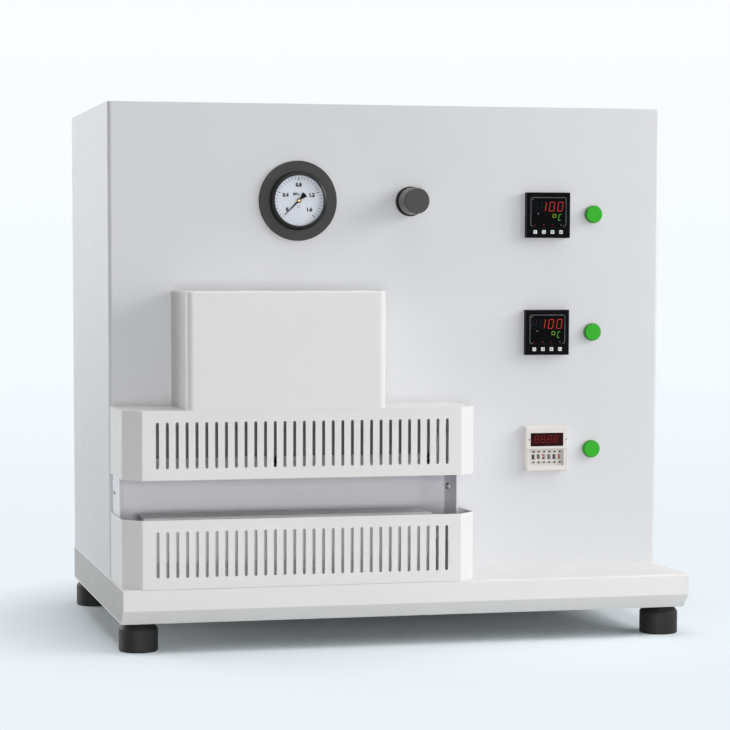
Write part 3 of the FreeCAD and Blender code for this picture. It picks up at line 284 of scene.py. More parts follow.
@dataclass(frozen=True)
class PowderCoat(Finish):
    """Baked powder paint on sheet steel: even colour, faint orange peel, satin sheen."""

    rough: float = 0.42
    sheen: float = 0.3
    cloud: Pair = (5.0, 4.0)
    mottle: Pair = (0.98, 1.015)
    smear: Pair = (60.0, 5.0)
    smear_reach: Pair = (-0.04, 0.05)
    grain: Pair = (420.0, 2.0)
    depth: float = 0.03 * MM


@dataclass(frozen=True)
class WorkedMetal(Finish):
    """Bare metal with fine lines from milling, grinding or drawing, and faint stains."""

    metal: float = 1.0
    cloud: Pair = (14.0, 5.0)
    mottle: Pair = (0.88, 1.05)
    smear: Pair = (1.0, 4.0)
    smear_reach: Pair = (-0.08, 0.10)
    lay: Lay = Lay.ALONG_X

    def relief(self, sheet: Coat) -> tuple[Socket, Socket]:
        """One set of lines for the sheen and the fine grain."""
        lines = sheet.noise(self.smear, self.lay.value)
        return lines, lines


@dataclass(frozen=True)
class Ink(Finish):
    """Printed figures and lines, dull and almost flat."""

    rough: float = 0.6
    sheen: float = 0.1
    depth: float = 0.004 * MM


@dataclass(frozen=True)
class TwoTone(Finish):
    """Finish with another colour beyond a place along an axis."""

    rough: float = 0.35
    cloud: Pair = (120.0, 4.0)
    mottle: Pair = (0.94, 1.05)
    beyond: Colour = EVEN
    axis: str = "Y"
    place: float = 0.0
    width: float = 0.2 * MM

    def clouded(self, sheet: Coat) -> Socket:
        """Lay both colours with their clouds on either side of the step.

        Args:
            sheet: Material's nodes.

        Returns:
            The colour's output.
        """
        split = sheet.add("SeparateXYZ", sheet.places)
        half = self.width / 2.0
        step = sheet.spread(split.outputs[self.axis], over=(self.place - half, self.place + half))
        clouds = sheet.spread(sheet.noise(self.cloud))
        return sheet.blend(step, *(sheet.mottled(clouds, colour, self.mottle)
                                   for colour in (self.colour, self.beyond)))


@dataclass(frozen=True)
class PressedBoard:
    """Pressed insulation board, whose layers show on its cut edges."""

    name: str
    colour: Colour
    mottle: Pair = (0.8, 1.2)
    grain: Pair = (1.0, 5.0)
    layers: Triple = (40.0, 40.0, 1400.0)

    def material(self) -> bpy.types.Material:
        """Make the board's material.

        Returns:
            The material.
        """
        sheet = Coat(self.name)
        layers = sheet.noise(self.grain, self.layers)
        sheet.colour(sheet.mottled(sheet.spread(layers), self.colour, self.mottle))
        sheet.bump(layers, SKIN)
        sheet.set(Roughness=0.8)
        return sheet.material


@dataclass(frozen=True)
class ClearLens:
    """Clear lens of an instrument, seen by its sheen alone."""

    name: str
    cover: float = 0.03
    smear: Pair = (40.0, 4.0)
    rough: Pair = (0.02, 0.06)

    def material(self) -> bpy.types.Material:
        """Make the lens's material.

        Returns:
            The material.
        """
        sheet = Coat(self.name)
        sheet.roughness(sheet.spread(sheet.noise(self.smear), self.rough))
        sheet.set(Base_Color=(0.0, 0.0, 0.0), Alpha=self.cover, Specular_IOR_Level=0.5)
        return sheet.material


@dataclass(frozen=True)
class Lit:
    """Lit or half-lit segment of a display."""

    name: str
    colour: Colour
    strength: float = 0.6
    cloud: Pair = (700.0, 2.0)
    unlit: Pair = (0.2, 0.3)

    def material(self) -> bpy.types.Material:
        """Make the lit material.

        Returns:
            The material.
        """
        sheet = Coat(self.name)
        sheet.colour(sheet.mottled(sheet.spread(sheet.noise(self.cloud)), self.colour, self.unlit))
        sheet.set(Emission_Color=self.colour, Emission_Strength=self.strength, Roughness=0.5,
                  Specular_IOR_Level=0.1)
        return sheet.material


PAINT_WHITE = (0.735, 0.726, 0.717)
KNOB_FACE = 2.6 * MM
FITTINGS_SPLIT = 0.38


def every_finish() -> tuple[Finish | PressedBoard | ClearLens | Lit, ...]:
    """List the finishes of the machine by what they cover.

    Returns:
        The finishes, none of them made yet.
    """
    panel_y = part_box("cabinet_wrap")[0].y
    knob_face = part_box("regulator_knob")[0].y + KNOB_FACE
    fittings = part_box("rear_fittings")
    between_fittings = fittings[0].x * (1.0 - FITTINGS_SPLIT) + fittings[1].x * FITTINGS_SPLIT
    return (
        PowderCoat("cabinet_paint", (0.637, 0.644, 0.660)),
        PowderCoat("guard_paint", PAINT_WHITE, rough=0.36),
        PowderCoat("base_paint", PAINT_WHITE, rough=0.40),
        # Painted light: the bracket's white is painted lighter and bluer than the guards' paint, standing in
        # for light on its shaded walls between the guards.
        PowderCoat("bracket_white_painted_lighter", (0.81, 0.81, 0.86), rough=0.40),
        PowderCoat("end_paint", (0.402, 0.396, 0.39), rough=0.45),
        WorkedMetal("zinc_steel", (0.62, 0.62, 0.60), rough=0.36),
        WorkedMetal("ground_rod", (0.75, 0.75, 0.74), rough=0.16, lay=Lay.ALONG_Z),
        # Painted light: the lower jaw's milled metal is painted lighter, standing in for light that its place
        # behind the lower guard doesn't get.
        WorkedMetal("milled_jaw_painted_lighter", (0.56, 0.56, 0.555), rough=0.44, metal=0.2),
        WorkedMetal("dark_jaw", (0.13, 0.13, 0.13), rough=0.42, metal=0.4),
        WorkedMetal("carrier_metal", (0.20, 0.20, 0.20), rough=0.42, metal=0.4),
        WorkedMetal("cylinder_metal", (0.60, 0.61, 0.63), rough=0.32, lay=Lay.ALONG_Z),
        WorkedMetal("heater_sheath", (0.42, 0.38, 0.34), rough=0.30),
        WorkedMetal("turned_bronze", (0.50, 0.36, 0.18), rough=0.32, lay=Lay.ALONG_Z, metal=0.8),
        WorkedMetal("turned_brass", (0.68, 0.50, 0.22), rough=0.26, lay=Lay.ALONG_Y, metal=0.8),
        # Steel of the bracket screws, and painted shade in the cross recesses of the rear screws.
        WorkedMetal("screw_steel_and_cross_shade", (0.34, 0.34, 0.33), rough=0.34),
        PressedBoard("insulation_board", (0.16, 0.15, 0.14)),
        # Painted light: a lighter copy of the insulation board for the lower jaw, standing in for light in
        # the lower guard's shade.
        PressedBoard("insulation_board_painted_lit", (0.50, 0.49, 0.47)),
        Finish("foot_rubber", (0.007, 0.007, 0.007), rough=0.55, grain=(500.0, 2.0), depth=0.05 * MM,
               sheen=0.3),
        Finish("grommet_rubber", (0.010, 0.010, 0.010), rough=0.6),
        Finish("gauge_black", (0.041, 0.042, 0.041), rough=0.42, sheen=0.2),
        Finish("bezel_black", (0.007, 0.007, 0.008), rough=0.34, sheen=0.25),
        Finish("pointer_black", (0.004, 0.004, 0.004), rough=0.5, sheen=0.1),
        Finish("dial_enamel", (0.75, 0.79, 0.87), rough=0.4, depth=0.004 * MM, mottle=(0.98, 1.02)),
        Finish("case_black", (0.003, 0.003, 0.0038), rough=0.30, sheen=0.03),
        Finish("inlet_black", (0.016, 0.016, 0.017), rough=0.36, sheen=0.3),
        Finish("display_black", (0.0028, 0.003, 0.0036), rough=0.12, mottle=(0.85, 1.15), sheen=0.03),
        Finish("display_red", (0.022, 0.0025, 0.003), rough=0.14, mottle=(0.85, 1.15), sheen=0.08),
        Finish("timer_cream", (0.665, 0.63, 0.605), rough=0.40, mottle=(0.98, 1.02)),
        Finish("cream_shadow", (0.36, 0.31, 0.27), rough=0.5, mottle=(0.97, 1.03)),
        Finish("wheel_ivory", (0.66, 0.62, 0.56), mottle=(0.97, 1.03)),
        Finish("key_white", (0.74, 0.74, 0.74), rough=0.35, mottle=(0.98, 1.02)),
        Finish("button_green", (0.035, 0.395, 0.022), rough=0.34, mottle=(0.97, 1.03), sheen=0.12),
        # Dark plastic of the timer's dots and button caps, and painted shade in the jaw plate's screw
        # sockets.
        Finish("switch_dark_and_socket_shade", (0.030, 0.024, 0.022), rough=0.4),
        Finish("unlit_segment", (0.007, 0.011, 0.013), rough=0.3, mottle=(0.9, 1.1), sheen=0.05),
        Ink("black_ink", (0.006, 0.006, 0.008)),
        Ink("blue_ink", (0.12, 0.14, 0.22)),
        Ink("red_ink", (0.42, 0.035, 0.035)),
        Ink("grey_ink", (0.19, 0.19, 0.20)),
        Ink("pale_ink", (0.30, 0.30, 0.31)),
        # Painted light: the knob's barrel behind its face is painted lighter than the face, standing in for
        # light and highlights on its sides.
        TwoTone("knob_grey", (0.025, 0.025, 0.025), beyond=(0.105, 0.107, 0.106), place=knob_face),
        TwoTone("collar_green", (0.025, 0.22, 0.018), beyond=(0.03, 0.03, 0.03), place=panel_y),
        TwoTone("fitting_metal", (0.42, 0.29, 0.14), beyond=(0.66, 0.52, 0.28), axis="X",
                place=between_fittings, rough=0.38, metal=0.7),
        ClearLens("clear_lens"),
        Lit("red_light", (0.66, 0.045, 0.035), strength=0.55),
        Lit("dim_red_light", (0.30, 0.012, 0.012), strength=0.48),
        Lit("green_light", (0.10, 0.50, 0.035)),
        Lit("yellow_green_light", (0.32, 0.58, 0.05)),
    )


class Finishes:
    """Every finish of the machine, each made once and shared."""

    def __init__(self) -> None:
        """Keep the finishes by name, none of them made yet."""
        self.known = {finish.name: finish for finish in every_finish()}

    @cache
    def get(self, name: str) -> bpy.types.Material:
        """Return a finish's material, made at its first use."""
        return self.known[name].material()

    def cover(self, name: str, *nodes: str) -> None:
        """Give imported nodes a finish.

        Args:
            name: Name of the finish.
            nodes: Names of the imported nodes.
        """
        for node in nodes:
            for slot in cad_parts[node].material_slots:
                slot.material = self.get(name)
            log.info("node %s: %s", node, name)


# Meshes

class Shape:
    """A mesh in the making, in the machine's own place."""

    def __init__(self) -> None:
        """Start an empty mesh."""
        self.mesh = bmesh.new()

    def rounded(self, geom: list, radius: float, segments: int, affect: str = "EDGES") -> dict:
        """Round edges or corners, and give back what the operator made."""
        return bmesh.ops.bevel(self.mesh, geom=geom, offset=radius, offset_type="OFFSET", segments=segments,
                               profile=0.5, affect=affect, material=-1)

    def block(self, centre: Vector, size: Vector, edge: float = 0.0) -> "Shape":
        """Add a block with rounded edges.

        Args:
            centre: Middle of the block.
            size: Length along each axis.
            edge: Radius of the rounded edges, 0 for none.

        Returns:
            The shape itself.
        """
        made = bmesh.ops.create_cube(
            self.mesh, size=1.0, matrix=Matrix.Translation(centre) @ Matrix.Diagonal((*size, 1.0)))
        if edge > 0.0:
            edges = {line for vertex in made["verts"] for line in vertex.link_edges}
            self.rounded(list(edges), edge, BLOCK_STEPS)
        return self

    def drum(self, centre: Vector, radius: float, depth: float, facing: Facing = Facing.FRONT,
             edge: float = 0.0, sides: int = DRUM_SIDES) -> "Shape":
        """Add a round bar along the way that it faces.

        Args:
            centre: Middle of the bar.
            radius: Radius of the bar.
            depth: Length along the axis.
            facing: Way that the front end faces.
            edge: Radius of the rounded rim at the front, 0 for none.
            sides: Number of flats round the bar.

        Returns:
            The shape itself.
        """
        place = Matrix.Translation(centre) @ facing.value
        made = bmesh.ops.create_cone(self.mesh, cap_ends=True, segments=sides, radius1=radius,
                                     radius2=radius, depth=depth, matrix=place)
        if edge > 0.0:
            outward = place.to_3x3() @ Vector((0.0, 0.0, 1.0))
            lines = {line for vertex in made["verts"] for line in vertex.link_edges}
            rim = [line for line in lines if all((end.co - centre).dot(outward) > 0.0 for end in line.verts)]
            self.rounded(rim, edge, RIM_STEPS)
        return self

    def outline(self, centre: Vector, width: float, height: float, line: float, corner: float) -> "Shape":
        """Add a thin rectangle's outline with rounded corners, facing the front.

        Args:
            centre: Middle of the outline, on the surface that it lies on.
            width: Outer width.
            height: Outer height.
            line: Width of the line.
            corner: Radius of the outer corners.

        Returns:
            The shape itself.
        """
        size = Matrix.Diagonal((width, height, 1.0, 1.0))
        corners = bmesh.ops.create_grid(self.mesh, x_segments=1, y_segments=1, size=0.5, matrix=size)["verts"]
        plate = self.rounded(corners, corner, CORNER_STEPS, "VERTICES")["verts"][0].link_faces[0]
        ring = bmesh.ops.inset_region(self.mesh, faces=[plate], thickness=line, use_boundary=True,
                                      use_even_offset=True)["faces"]
        bmesh.ops.delete(self.mesh, geom=[plate], context="FACES_ONLY")
        flat = {vertex for face in ring for vertex in face.verts}
        raised = bmesh.ops.extrude_face_region(self.mesh, geom=ring, use_keep_orig=True)["geom"]
        front = {item for item in raised if isinstance(item, bmesh.types.BMVert)}
        bmesh.ops.translate(self.mesh, vec=(0, 0, SKIN), verts=list(front))
        bmesh.ops.transform(self.mesh, matrix=Matrix.Translation(centre) @ Facing.FRONT.value,
                            verts=list(flat | front))
        return self

    def ring(self, centre: Vector, size: float, line: float) -> "Shape":
        """Add a thin small ring that faces the front, as an outline that is nearly all corners."""
        return self.outline(centre, size, size, line, size * RING_CORNER)

    def figures(self, text: str, centre: Vector, height: float, weight: float) -> "Shape":
        """Add plain raised figures that face the front, centred on a point.

        Args:
            text: Figures to write.
            centre: Middle of the writing.
            height: Height of a figure.
            weight: How much each stroke is thickened.

        Returns:
            The shape itself.
        """
        curve = bpy.data.curves.new("figures", "FONT")
        curve.body = text
        curve.align_x = "CENTER"
        curve.align_y = "CENTER"
        curve.size = height / CAP_HEIGHT
        curve.offset = weight
        curve.extrude = SKIN / 2.0
        curve.resolution_u = FIGURE_STEPS
        writer = bpy.data.objects.new("figures", curve)
        bpy.context.scene.collection.objects.link(writer)
        bpy.context.view_layer.update()
        flat = bpy.data.meshes.new_from_object(writer.evaluated_get(bpy.context.evaluated_depsgraph_get()))
        flat.transform(Matrix.Translation(centre) @ Facing.FRONT.value)
        self.mesh.from_mesh(flat)
        bpy.data.objects.remove(writer)
        bpy.data.curves.remove(curve)
        bpy.data.meshes.remove(flat)
        return self

    def moved(self, matrix: Matrix) -> "Shape":
        """Move everything so far by a matrix."""
        bmesh.ops.transform(self.mesh, matrix=matrix, verts=self.mesh.verts[:])
        return self

    def joined(self, other: "Shape") -> "Shape":
        """Take in another shape, which is used up.

        Args:
            other: Shape to take in.

        Returns:
            The shape itself.
        """
        held = bpy.data.meshes.new("held")
        other.mesh.to_mesh(held)
        other.mesh.free()
        self.mesh.from_mesh(held)
        bpy.data.meshes.remove(held)
        return self


def turn(about: Vector, axis: str, angle: float) -> Matrix:
    """Turn by an angle about an axis through a point."""
    return Matrix.Translation(about) @ Matrix.Rotation(angle, 4, axis) @ Matrix.Translation(-about)


def middle(node: str) -> Vector:
    """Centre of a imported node's box."""
    low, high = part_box(node)
    return (low + high) / 2.0


# Sub-assemblies

@dataclass
class SubAssembly:
    """One sub-assembly of the machine, which draws on the shared finishes."""

    coats: ClassVar[Coats] = {}
    finishes: Finishes

    def dress(self) -> None:
        """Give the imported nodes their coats."""
        for finish, nodes in self.coats.items():
            self.finishes.cover(finish, *nodes)

    def build(self) -> None:
        """Make what the frame doesn't hold."""

    def add(self, name: str, shape: Shape, finish: str, slot: str, body: str = "cabinet",
            smooth: bool = False) -> None:
        """Turn a shape, which is used up, into a piece of the machine that rides on a body.

        Args:
            name: Name of the piece.
            shape: Shape that it has.
            finish: Name of its finish.
            slot: The record's material slot nearest to its finish; not used.
            body: Body that it moves with.
            smooth: Whether round faces are shaded smooth.
        """
        mesh = shape.mesh
        bmesh.ops.remove_doubles(mesh, verts=mesh.verts[:], dist=MERGE)
        bmesh.ops.recalc_face_normals(mesh, faces=mesh.faces[:])
        data = bpy.data.meshes.new(name)
        mesh.to_mesh(data)
        mesh.free()
        data.materials.append(self.finishes.get(finish))
        if smooth:
            data.shade_smooth()
            data.set_sharp_from_angle(angle=SMOOTH_ANGLE)
        made = bpy.data.objects.new(name, data)
        bpy.context.scene.collection.objects.link(made)
        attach(made, body)
        log.info("piece %s on %s: %d faces", name, body, len(data.polygons))


@dataclass
class Cabinet(SubAssembly):
    """Base, feet, folded cabinet, lid and rear panel with its screws."""

    coats: ClassVar[Coats] = {
        "cabinet_paint": ("cabinet_wrap", "top_lid", "rear_panel"),
        "base_paint": ("base_shell",),
        "end_paint": ("base_ends",),
        "foot_rubber": ("feet",),
        "zinc_steel": ("case_screws",),
        "grommet_rubber": ("lead_grommets",),
        "cylinder_metal": ("solenoid_valve",),
    }
    screw_rows: int = 4
    screw_end: float = 20.0 * MM
    head_radius: float = 3.6 * MM
    cross_length: float = 4.2 * MM
    cross_width: float = 0.9 * MM

    def build(self) -> None:
        """Lay a darker cross on the head of each rear screw, painted shade standing in for its cross recess.
        """
        low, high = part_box("case_screws")
        x_reach = high.x - self.head_radius
        top = high.z - self.head_radius
        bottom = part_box("rear_panel")[0].z + self.screw_end
        recess_shade = Shape()
        for side in (-1, 1):
            for row in range(self.screw_rows):
                z = bottom + (top - bottom) * row / (self.screw_rows - 1)
                centre = Vector((side * x_reach, high.y + SKIN / 2.0, z))
                # Painted shade: a thin darker cross on each head stands in for the shade in its cross recess.
                recess_shade.block(centre, Vector((self.cross_length, SKIN, self.cross_width)))
                recess_shade.block(centre, Vector((self.cross_width, SKIN, self.cross_length)))
        self.add("rear_screw_crosses", recess_shade, "screw_steel_and_cross_shade", "zinc_steel")


@dataclass
class Guards(SubAssembly):
    """Slotted guards, the folded cover above them and the bracket that carries them."""

    coats: ClassVar[Coats] = {
        "guard_paint": ("lower_guard", "upper_guard", "cylinder_cover"),
        "bracket_white_painted_lighter": ("jaw_frame",),
    }
    sheet: float = 1.5 * MM
    screw_inset: float = 14.0 * MM
    screw_rise: float = 90.6 * MM
    head_radius: float = 3.0 * MM
    head_height: float = 1.8 * MM
    head_edge: float = 0.6 * MM
    washer_radius: float = 3.8 * MM
    washer_height: float = 0.6 * MM

    def build(self) -> None:
        """Set a screw with its washer over each of the bracket's slots, on the inside."""
        low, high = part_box("jaw_frame")
        fixings = Shape()
        for outer, inward, facing in ((low.x, 1, Facing.RIGHT), (high.x, -1, Facing.LEFT)):
            hole = Vector((outer, high.y - self.screw_inset, low.z + self.screw_rise))
            into = Vector((inward, 0, 0))
            face = hole + into * self.sheet
            fixings.drum(face + into * self.washer_height / 2.0, self.washer_radius, self.washer_height,
                         facing)
            fixings.drum(face + into * (self.washer_height + self.head_height / 2.0), self.head_radius,
                         self.head_height, facing, self.head_edge)
        self.add("bracket_screws", fixings, "screw_steel_and_cross_shade", "zinc_steel", smooth=True)


@dataclass
class Jaws(SubAssembly):
    """Both sealing jaws, the air cylinder and its guides."""

    coats: ClassVar[Coats] = {
        "milled_jaw_painted_lighter": ("lower_mount_plate", "lower_heater_block", "lower_jaw_face"),
        "dark_jaw": ("upper_jaw_face", "upper_heater_block"),
        "carrier_metal": ("jaw_carrier",),
        "insulation_board": ("upper_insulation",),
        "insulation_board_painted_lit": ("lower_insulation",),
        "heater_sheath": ("lower_heaters", "upper_heaters"),
        "zinc_steel": ("cylinder_bracket",),
        "cylinder_metal": ("air_cylinder",),
        "turned_bronze": ("guide_bushes",),
        "ground_rod": ("piston_rod", "guide_rods"),
    }
    screw_radius: float = 4.6 * MM
    screw_height: float = 5.0 * MM
    screw_edge: float = 0.4 * MM
    socket_radius: float = 2.3 * MM
    socket_sides: int = 6

    def build(self) -> None:
        """Set socket-head screws along the back of the lower jaw's plate, a dark hexagon painted on each as
        socket shade.
        """
        low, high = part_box("lower_mount_plate")
        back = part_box("lower_heater_block")[1].y
        length = high.x - low.x
        heads = Shape()
        sockets = Shape()
        for step in (-1, 0, 1):
            foot = Vector(((low.x + high.x) / 2.0 + step * length / 3.0, (back + high.y) / 2.0, high.z))
            heads.drum(foot + Vector((0, 0, self.screw_height / 2.0)), self.screw_radius, self.screw_height,
                       Facing.UP, self.screw_edge)
            # Painted shade: a thin dark hexagon on each head stands in for the shade in its socket.
            sockets.drum(foot + Vector((0, 0, self.screw_height + SKIN / 2.0)), self.socket_radius, SKIN,
                         Facing.UP, sides=self.socket_sides)
        self.add("plate_screws", heads, "zinc_steel", "zinc_steel", smooth=True)
        self.add("plate_screw_socket_shade", sockets, "switch_dark_and_socket_shade", "pointer_black")


@dataclass
class PressureGauge(SubAssembly):
    """Round gauge: flange, bezel, printed dial, pointer and lens."""

    coats: ClassVar[Coats] = {
        "gauge_black": ("gauge_case",),
        "bezel_black": ("gauge_bezel",),
        "dial_enamel": ("gauge_dial",),
        "pointer_black": ("gauge_pointer",),
        "clear_lens": ("gauge_lens",),
    }
    zero_angle: float = 225.0
    sweep: float = 270.0
    steps: int = 32
    major_every: int = 8
    minor_tick: Triple = (25.2 * MM, 3.0 * MM, 0.42 * MM)
    major_tick: Triple = (24.2 * MM, 3.2 * MM, 0.75 * MM)
    figure_height: float = 3.6 * MM
    figure_weight: float = 0.32 * MM
    unit_rise: float = 6.8 * MM
    unit_left: float = 2.9 * MM
    unit_height: float = 2.6 * MM
    unit_weight: float = 0.10 * MM
    ring_drop: float = 6.0 * MM
    ring_size: float = 3.0 * MM
    ring_line: float = 0.35 * MM
    hub_radius: float = 1.5 * MM
    hub_height: float = 0.3 * MM
    hub_edge: float = 0.1 * MM
    figures: tuple[tuple[str, float, float], ...] = (
        ("0", 233.0, 15.3 * MM), ("0.4", 292.5, 15.0 * MM), ("0.8", 0.0, 16.2 * MM),
        ("1.2", 67.5, 15.1 * MM), ("1.6", 129.0, 14.7 * MM))

    def build(self) -> None:
        """Print the scale on the dial and set the brass screw in the pointer's hub."""
        low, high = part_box("gauge_dial")
        centre = Vector(((low.x + high.x) / 2.0, low.y - SKIN / 2.0, (low.z + high.z) / 2.0))
        minor = Shape()
        major = Shape()
        for step in range(self.steps + 1):
            angle = math.radians(self.zero_angle + self.sweep * step / self.steps)
            wide = step % self.major_every == 0 and step > 0
            outer, length, width = self.major_tick if wide else self.minor_tick
            tick = Shape().block(centre + Vector((0, 0, outer - length / 2.0)), Vector((width, SKIN, length)))
            (major if wide else minor).joined(tick.moved(turn(centre, "Y", angle)))
        ring = centre + Vector((0, SKIN / 2.0, -self.ring_drop))
        minor.joined(Shape().ring(ring, self.ring_size, self.ring_line))
        self.add("gauge_fine_scale", minor, "blue_ink", "pointer_black")
        for text, degrees, radius in self.figures:
            spot = turn(centre, "Y", math.radians(degrees)) @ (centre + Vector((0, 0, radius)))
            major.figures(text, spot, self.figure_height, self.figure_weight)
        unit = centre + Vector((-self.unit_left, 0, self.unit_rise))
        major.figures("MPa", unit, self.unit_height, self.unit_weight)
        self.add("gauge_main_scale", major, "black_ink", "pointer_black")
        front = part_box("gauge_pointer")[0].y
        screw = Shape().drum(Vector((centre.x, front - self.hub_height / 2.0, centre.z)), self.hub_radius,
                             self.hub_height, edge=self.hub_edge)
        self.add("pointer_screw", screw, "turned_brass", "bronze", "pointer", smooth=True)


@dataclass
class Regulator(SubAssembly):
    """Pressure regulator with its round knob."""

    coats: ClassVar[Coats] = {
        "knob_grey": ("regulator_knob",),
        "bezel_black": ("regulator_body",),
    }


# Middle of each segment, as shares of a figure's width and height
SEGMENTS = {"a": (0.5, 1.0), "b": (1.0, 0.75), "c": (1.0, 0.25), "d": (0.5, 0.0), "e": (0.0, 0.25),
            "f": (0.0, 0.75), "g": (0.5, 0.5)}


@dataclass
class SevenSegment:
    """Slanted seven-segment figures of one size."""

    height: float
    stroke: float
    width: float
    slant: float = 0.14
    gap_share: float = 0.2

    def figure(self, segments: str, corner: Vector) -> Shape:
        """Build the named segments with their figure's lower left corner at a point.

        Args:
            segments: Letters from a to g, in the usual order round the figure.
            corner: Lower left corner, on the surface that the figure lies on.

        Returns:
            The figure's shape.
        """
        gap = self.stroke * self.gap_share
        shape = Shape()
        for name in segments:
            across, up = SEGMENTS[name]
            level = across == 0.5
            length = (self.width - self.stroke if level else self.height / 2.0) - 2.0 * gap
            size = (length, SKIN, self.stroke) if level else (self.stroke, SKIN, length)
            shape.block(Vector((across * self.width, 0, up * self.height)), Vector(size))
        lean = Matrix.Identity(4)
        lean[0][2] = self.slant
        return shape.moved(Matrix.Translation(corner - Vector((0, SKIN / 2.0, 0))) @ lean)

    def line(self, figures: tuple[str, ...], corner: Vector, pitch: float) -> Shape:
        """Build figures side by side.

        Args:
            figures: Segments of each figure, from the left.
            corner: Lower left corner of the first.
            pitch: Step from each to the next.

        Returns:
            The shape of all of them.
        """
        shape = Shape()
        for place, segments in enumerate(figures):
            shape.joined(self.figure(segments, corner + Vector((pitch * place, 0, 0))))
        return shape


@dataclass
class Controller(SubAssembly):
    """One temperature controller: its display's border, figures and lamps, and its keys' marks."""

    row: str
    window: tuple[Vector, Vector]
    border_margin: float = 0.3 * MM
    border_line: float = 0.28 * MM
    border_corner: float = 2.0 * MM
    border_hook: float = 3.4 * MM
    figure_left: float = 1.8 * MM
    figure_bottom: float = 16.3 * MM
    figure_pitch: float = 9.4 * MM
    figure_size: Triple = (9.5 * MM, 0.7 * MM, 5.2 * MM)
    shown: tuple[str, ...] = ("", "bc", "abcdef", "abcdef")
    unit_place: Pair = (31.0 * MM, 6.5 * MM)
    unit_size: Triple = (6.3 * MM, 0.6 * MM, 2.9 * MM)
    ring_place: Pair = (26.6 * MM, 11.2 * MM)
    ring_size: float = 4.0 * MM
    ring_line: float = 0.45 * MM
    dot_place: Pair = (8.7 * MM, 13.6 * MM)
    dot_radius: float = 0.6 * MM
    dot_sides: int = 20
    dash_place: Pair = (2.6 * MM, 28.4 * MM)
    dash_size: Triple = (1.8 * MM, SKIN, 0.4 * MM)
    lamp_bottom: float = 1.7 * MM
    lamp_radius: float = 0.55 * MM
    key_mark: float = 1.2 * MM
    key_sides: int = 3
    key_outline: float = 1.7 * MM
    key_line: float = 0.35 * MM
    key_corner: float = 0.8 * MM
    key_turns: tuple[float | None, ...] = (None, 90.0, 180.0, 0.0)

    def build(self) -> None:
        """Print the border, light the display and mark the keys."""
        self.print_border()
        self.light_figures()
        self.light_lamps()
        self.mark_keys()

    def place(self, from_left: float, from_bottom: float) -> Vector:
        """Point on the display's surface, from its lower left corner."""
        low, high = self.window
        return Vector((low.x + from_left, low.y - SKIN / 2.0, low.z + from_bottom))

    def print_border(self) -> None:
        """Print the thin border, open along the bottom where the lamps are."""
        low, high = self.window
        width = high.x - low.x - 2.0 * self.border_margin
        height = high.z - low.z - 2.0 * self.border_margin
        centre = Vector(((low.x + high.x) / 2.0, low.y, (low.z + high.z) / 2.0))
        border = Shape().outline(centre, width, height, self.border_line, self.border_corner)
        mesh = border.mesh
        reach = width / 2.0 - self.border_hook
        for side in (-1, 1):
            cut = centre + Vector((side * reach, 0, 0))
            bmesh.ops.bisect_plane(mesh, geom=mesh.verts[:] + mesh.edges[:] + mesh.faces[:],
                                   plane_co=cut, plane_no=Vector((1, 0, 0)))
        bottom = [face for face in mesh.faces if face.calc_center_median().z < centre.z
                  and abs(face.calc_center_median().x - centre.x) < reach]
        bmesh.ops.delete(mesh, geom=bottom, context="FACES")
        bmesh.ops.holes_fill(mesh, edges=[edge for edge in mesh.edges if edge.is_boundary], sides=4)
        self.add(f"{self.row}_display_border", border, "pale_ink", "key_white")

    def light_figures(self) -> None:
        """Light the temperature in red and its unit in green."""
        low = self.window[0]
        digits = SevenSegment(*self.figure_size)
        unlit = tuple("".join(name for name in SEGMENTS if name not in on) for on in self.shown)
        for name, figures, finish, slot in (("red_figures", self.shown, "red_light", "window_red"),
                                            ("unlit_segments", unlit, "unlit_segment", "window_dark")):
            corner = low + Vector((self.figure_left, 0, self.figure_bottom))
            self.add(f"{self.row}_{name}", digits.line(figures, corner, self.figure_pitch), finish, slot)
        across, up = self.unit_place
        unit = SevenSegment(*self.unit_size).figure("adef", low + Vector((across, 0, up)))
        self.add(f"{self.row}_unit_letter", unit, "green_light", "button_green")
        across, up = self.ring_place
        ring = Shape().ring(low + Vector((across, 0, up)), self.ring_size, self.ring_line)
        self.add(f"{self.row}_degree_ring", ring, "yellow_green_light", "button_green")

    def light_lamps(self) -> None:
        """Light the row of small lamps along the bottom, and print the two small marks."""
        low = self.window[0]
        keys = [middle(f"{self.row}_key_{place}").x - low.x for place in range(1, 5)]
        for finish, places in (("red_light", (1,)), ("dim_red_light", (0, 2)), ("grey_ink", (3,))):
            shape = Shape()
            for place in places:
                shape.drum(self.place(keys[place], self.lamp_bottom), self.lamp_radius, SKIN,
                           sides=DOT_SIDES)
            self.add(f"{self.row}_lamps_{finish}", shape, finish, "window_red")
        marks = Shape().drum(self.place(*self.dot_place), self.dot_radius, SKIN, sides=self.dot_sides)
        marks.block(self.place(*self.dash_place), Vector(self.dash_size))
        self.add(f"{self.row}_display_marks", marks, "pale_ink", "key_white")

    def mark_keys(self) -> None:
        """Print a small mark on each key."""
        for place, degrees in enumerate(self.key_turns, start=1):
            node = f"{self.row}_key_{place}"
            centre = middle(node)
            centre.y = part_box(node)[0].y
            if degrees is None:
                mark = Shape().outline(centre, self.key_outline, self.key_outline, self.key_line,
                                       self.key_corner)
            else:
                centre.y -= SKIN / 2.0
                mark = Shape().drum(centre, self.key_mark, SKIN, sides=self.key_sides)
                mark.moved(turn(centre, "Y", math.radians(-degrees)))
            self.add(f"{node}_mark", mark, "black_ink", "window_dark", f"{node}_cap")


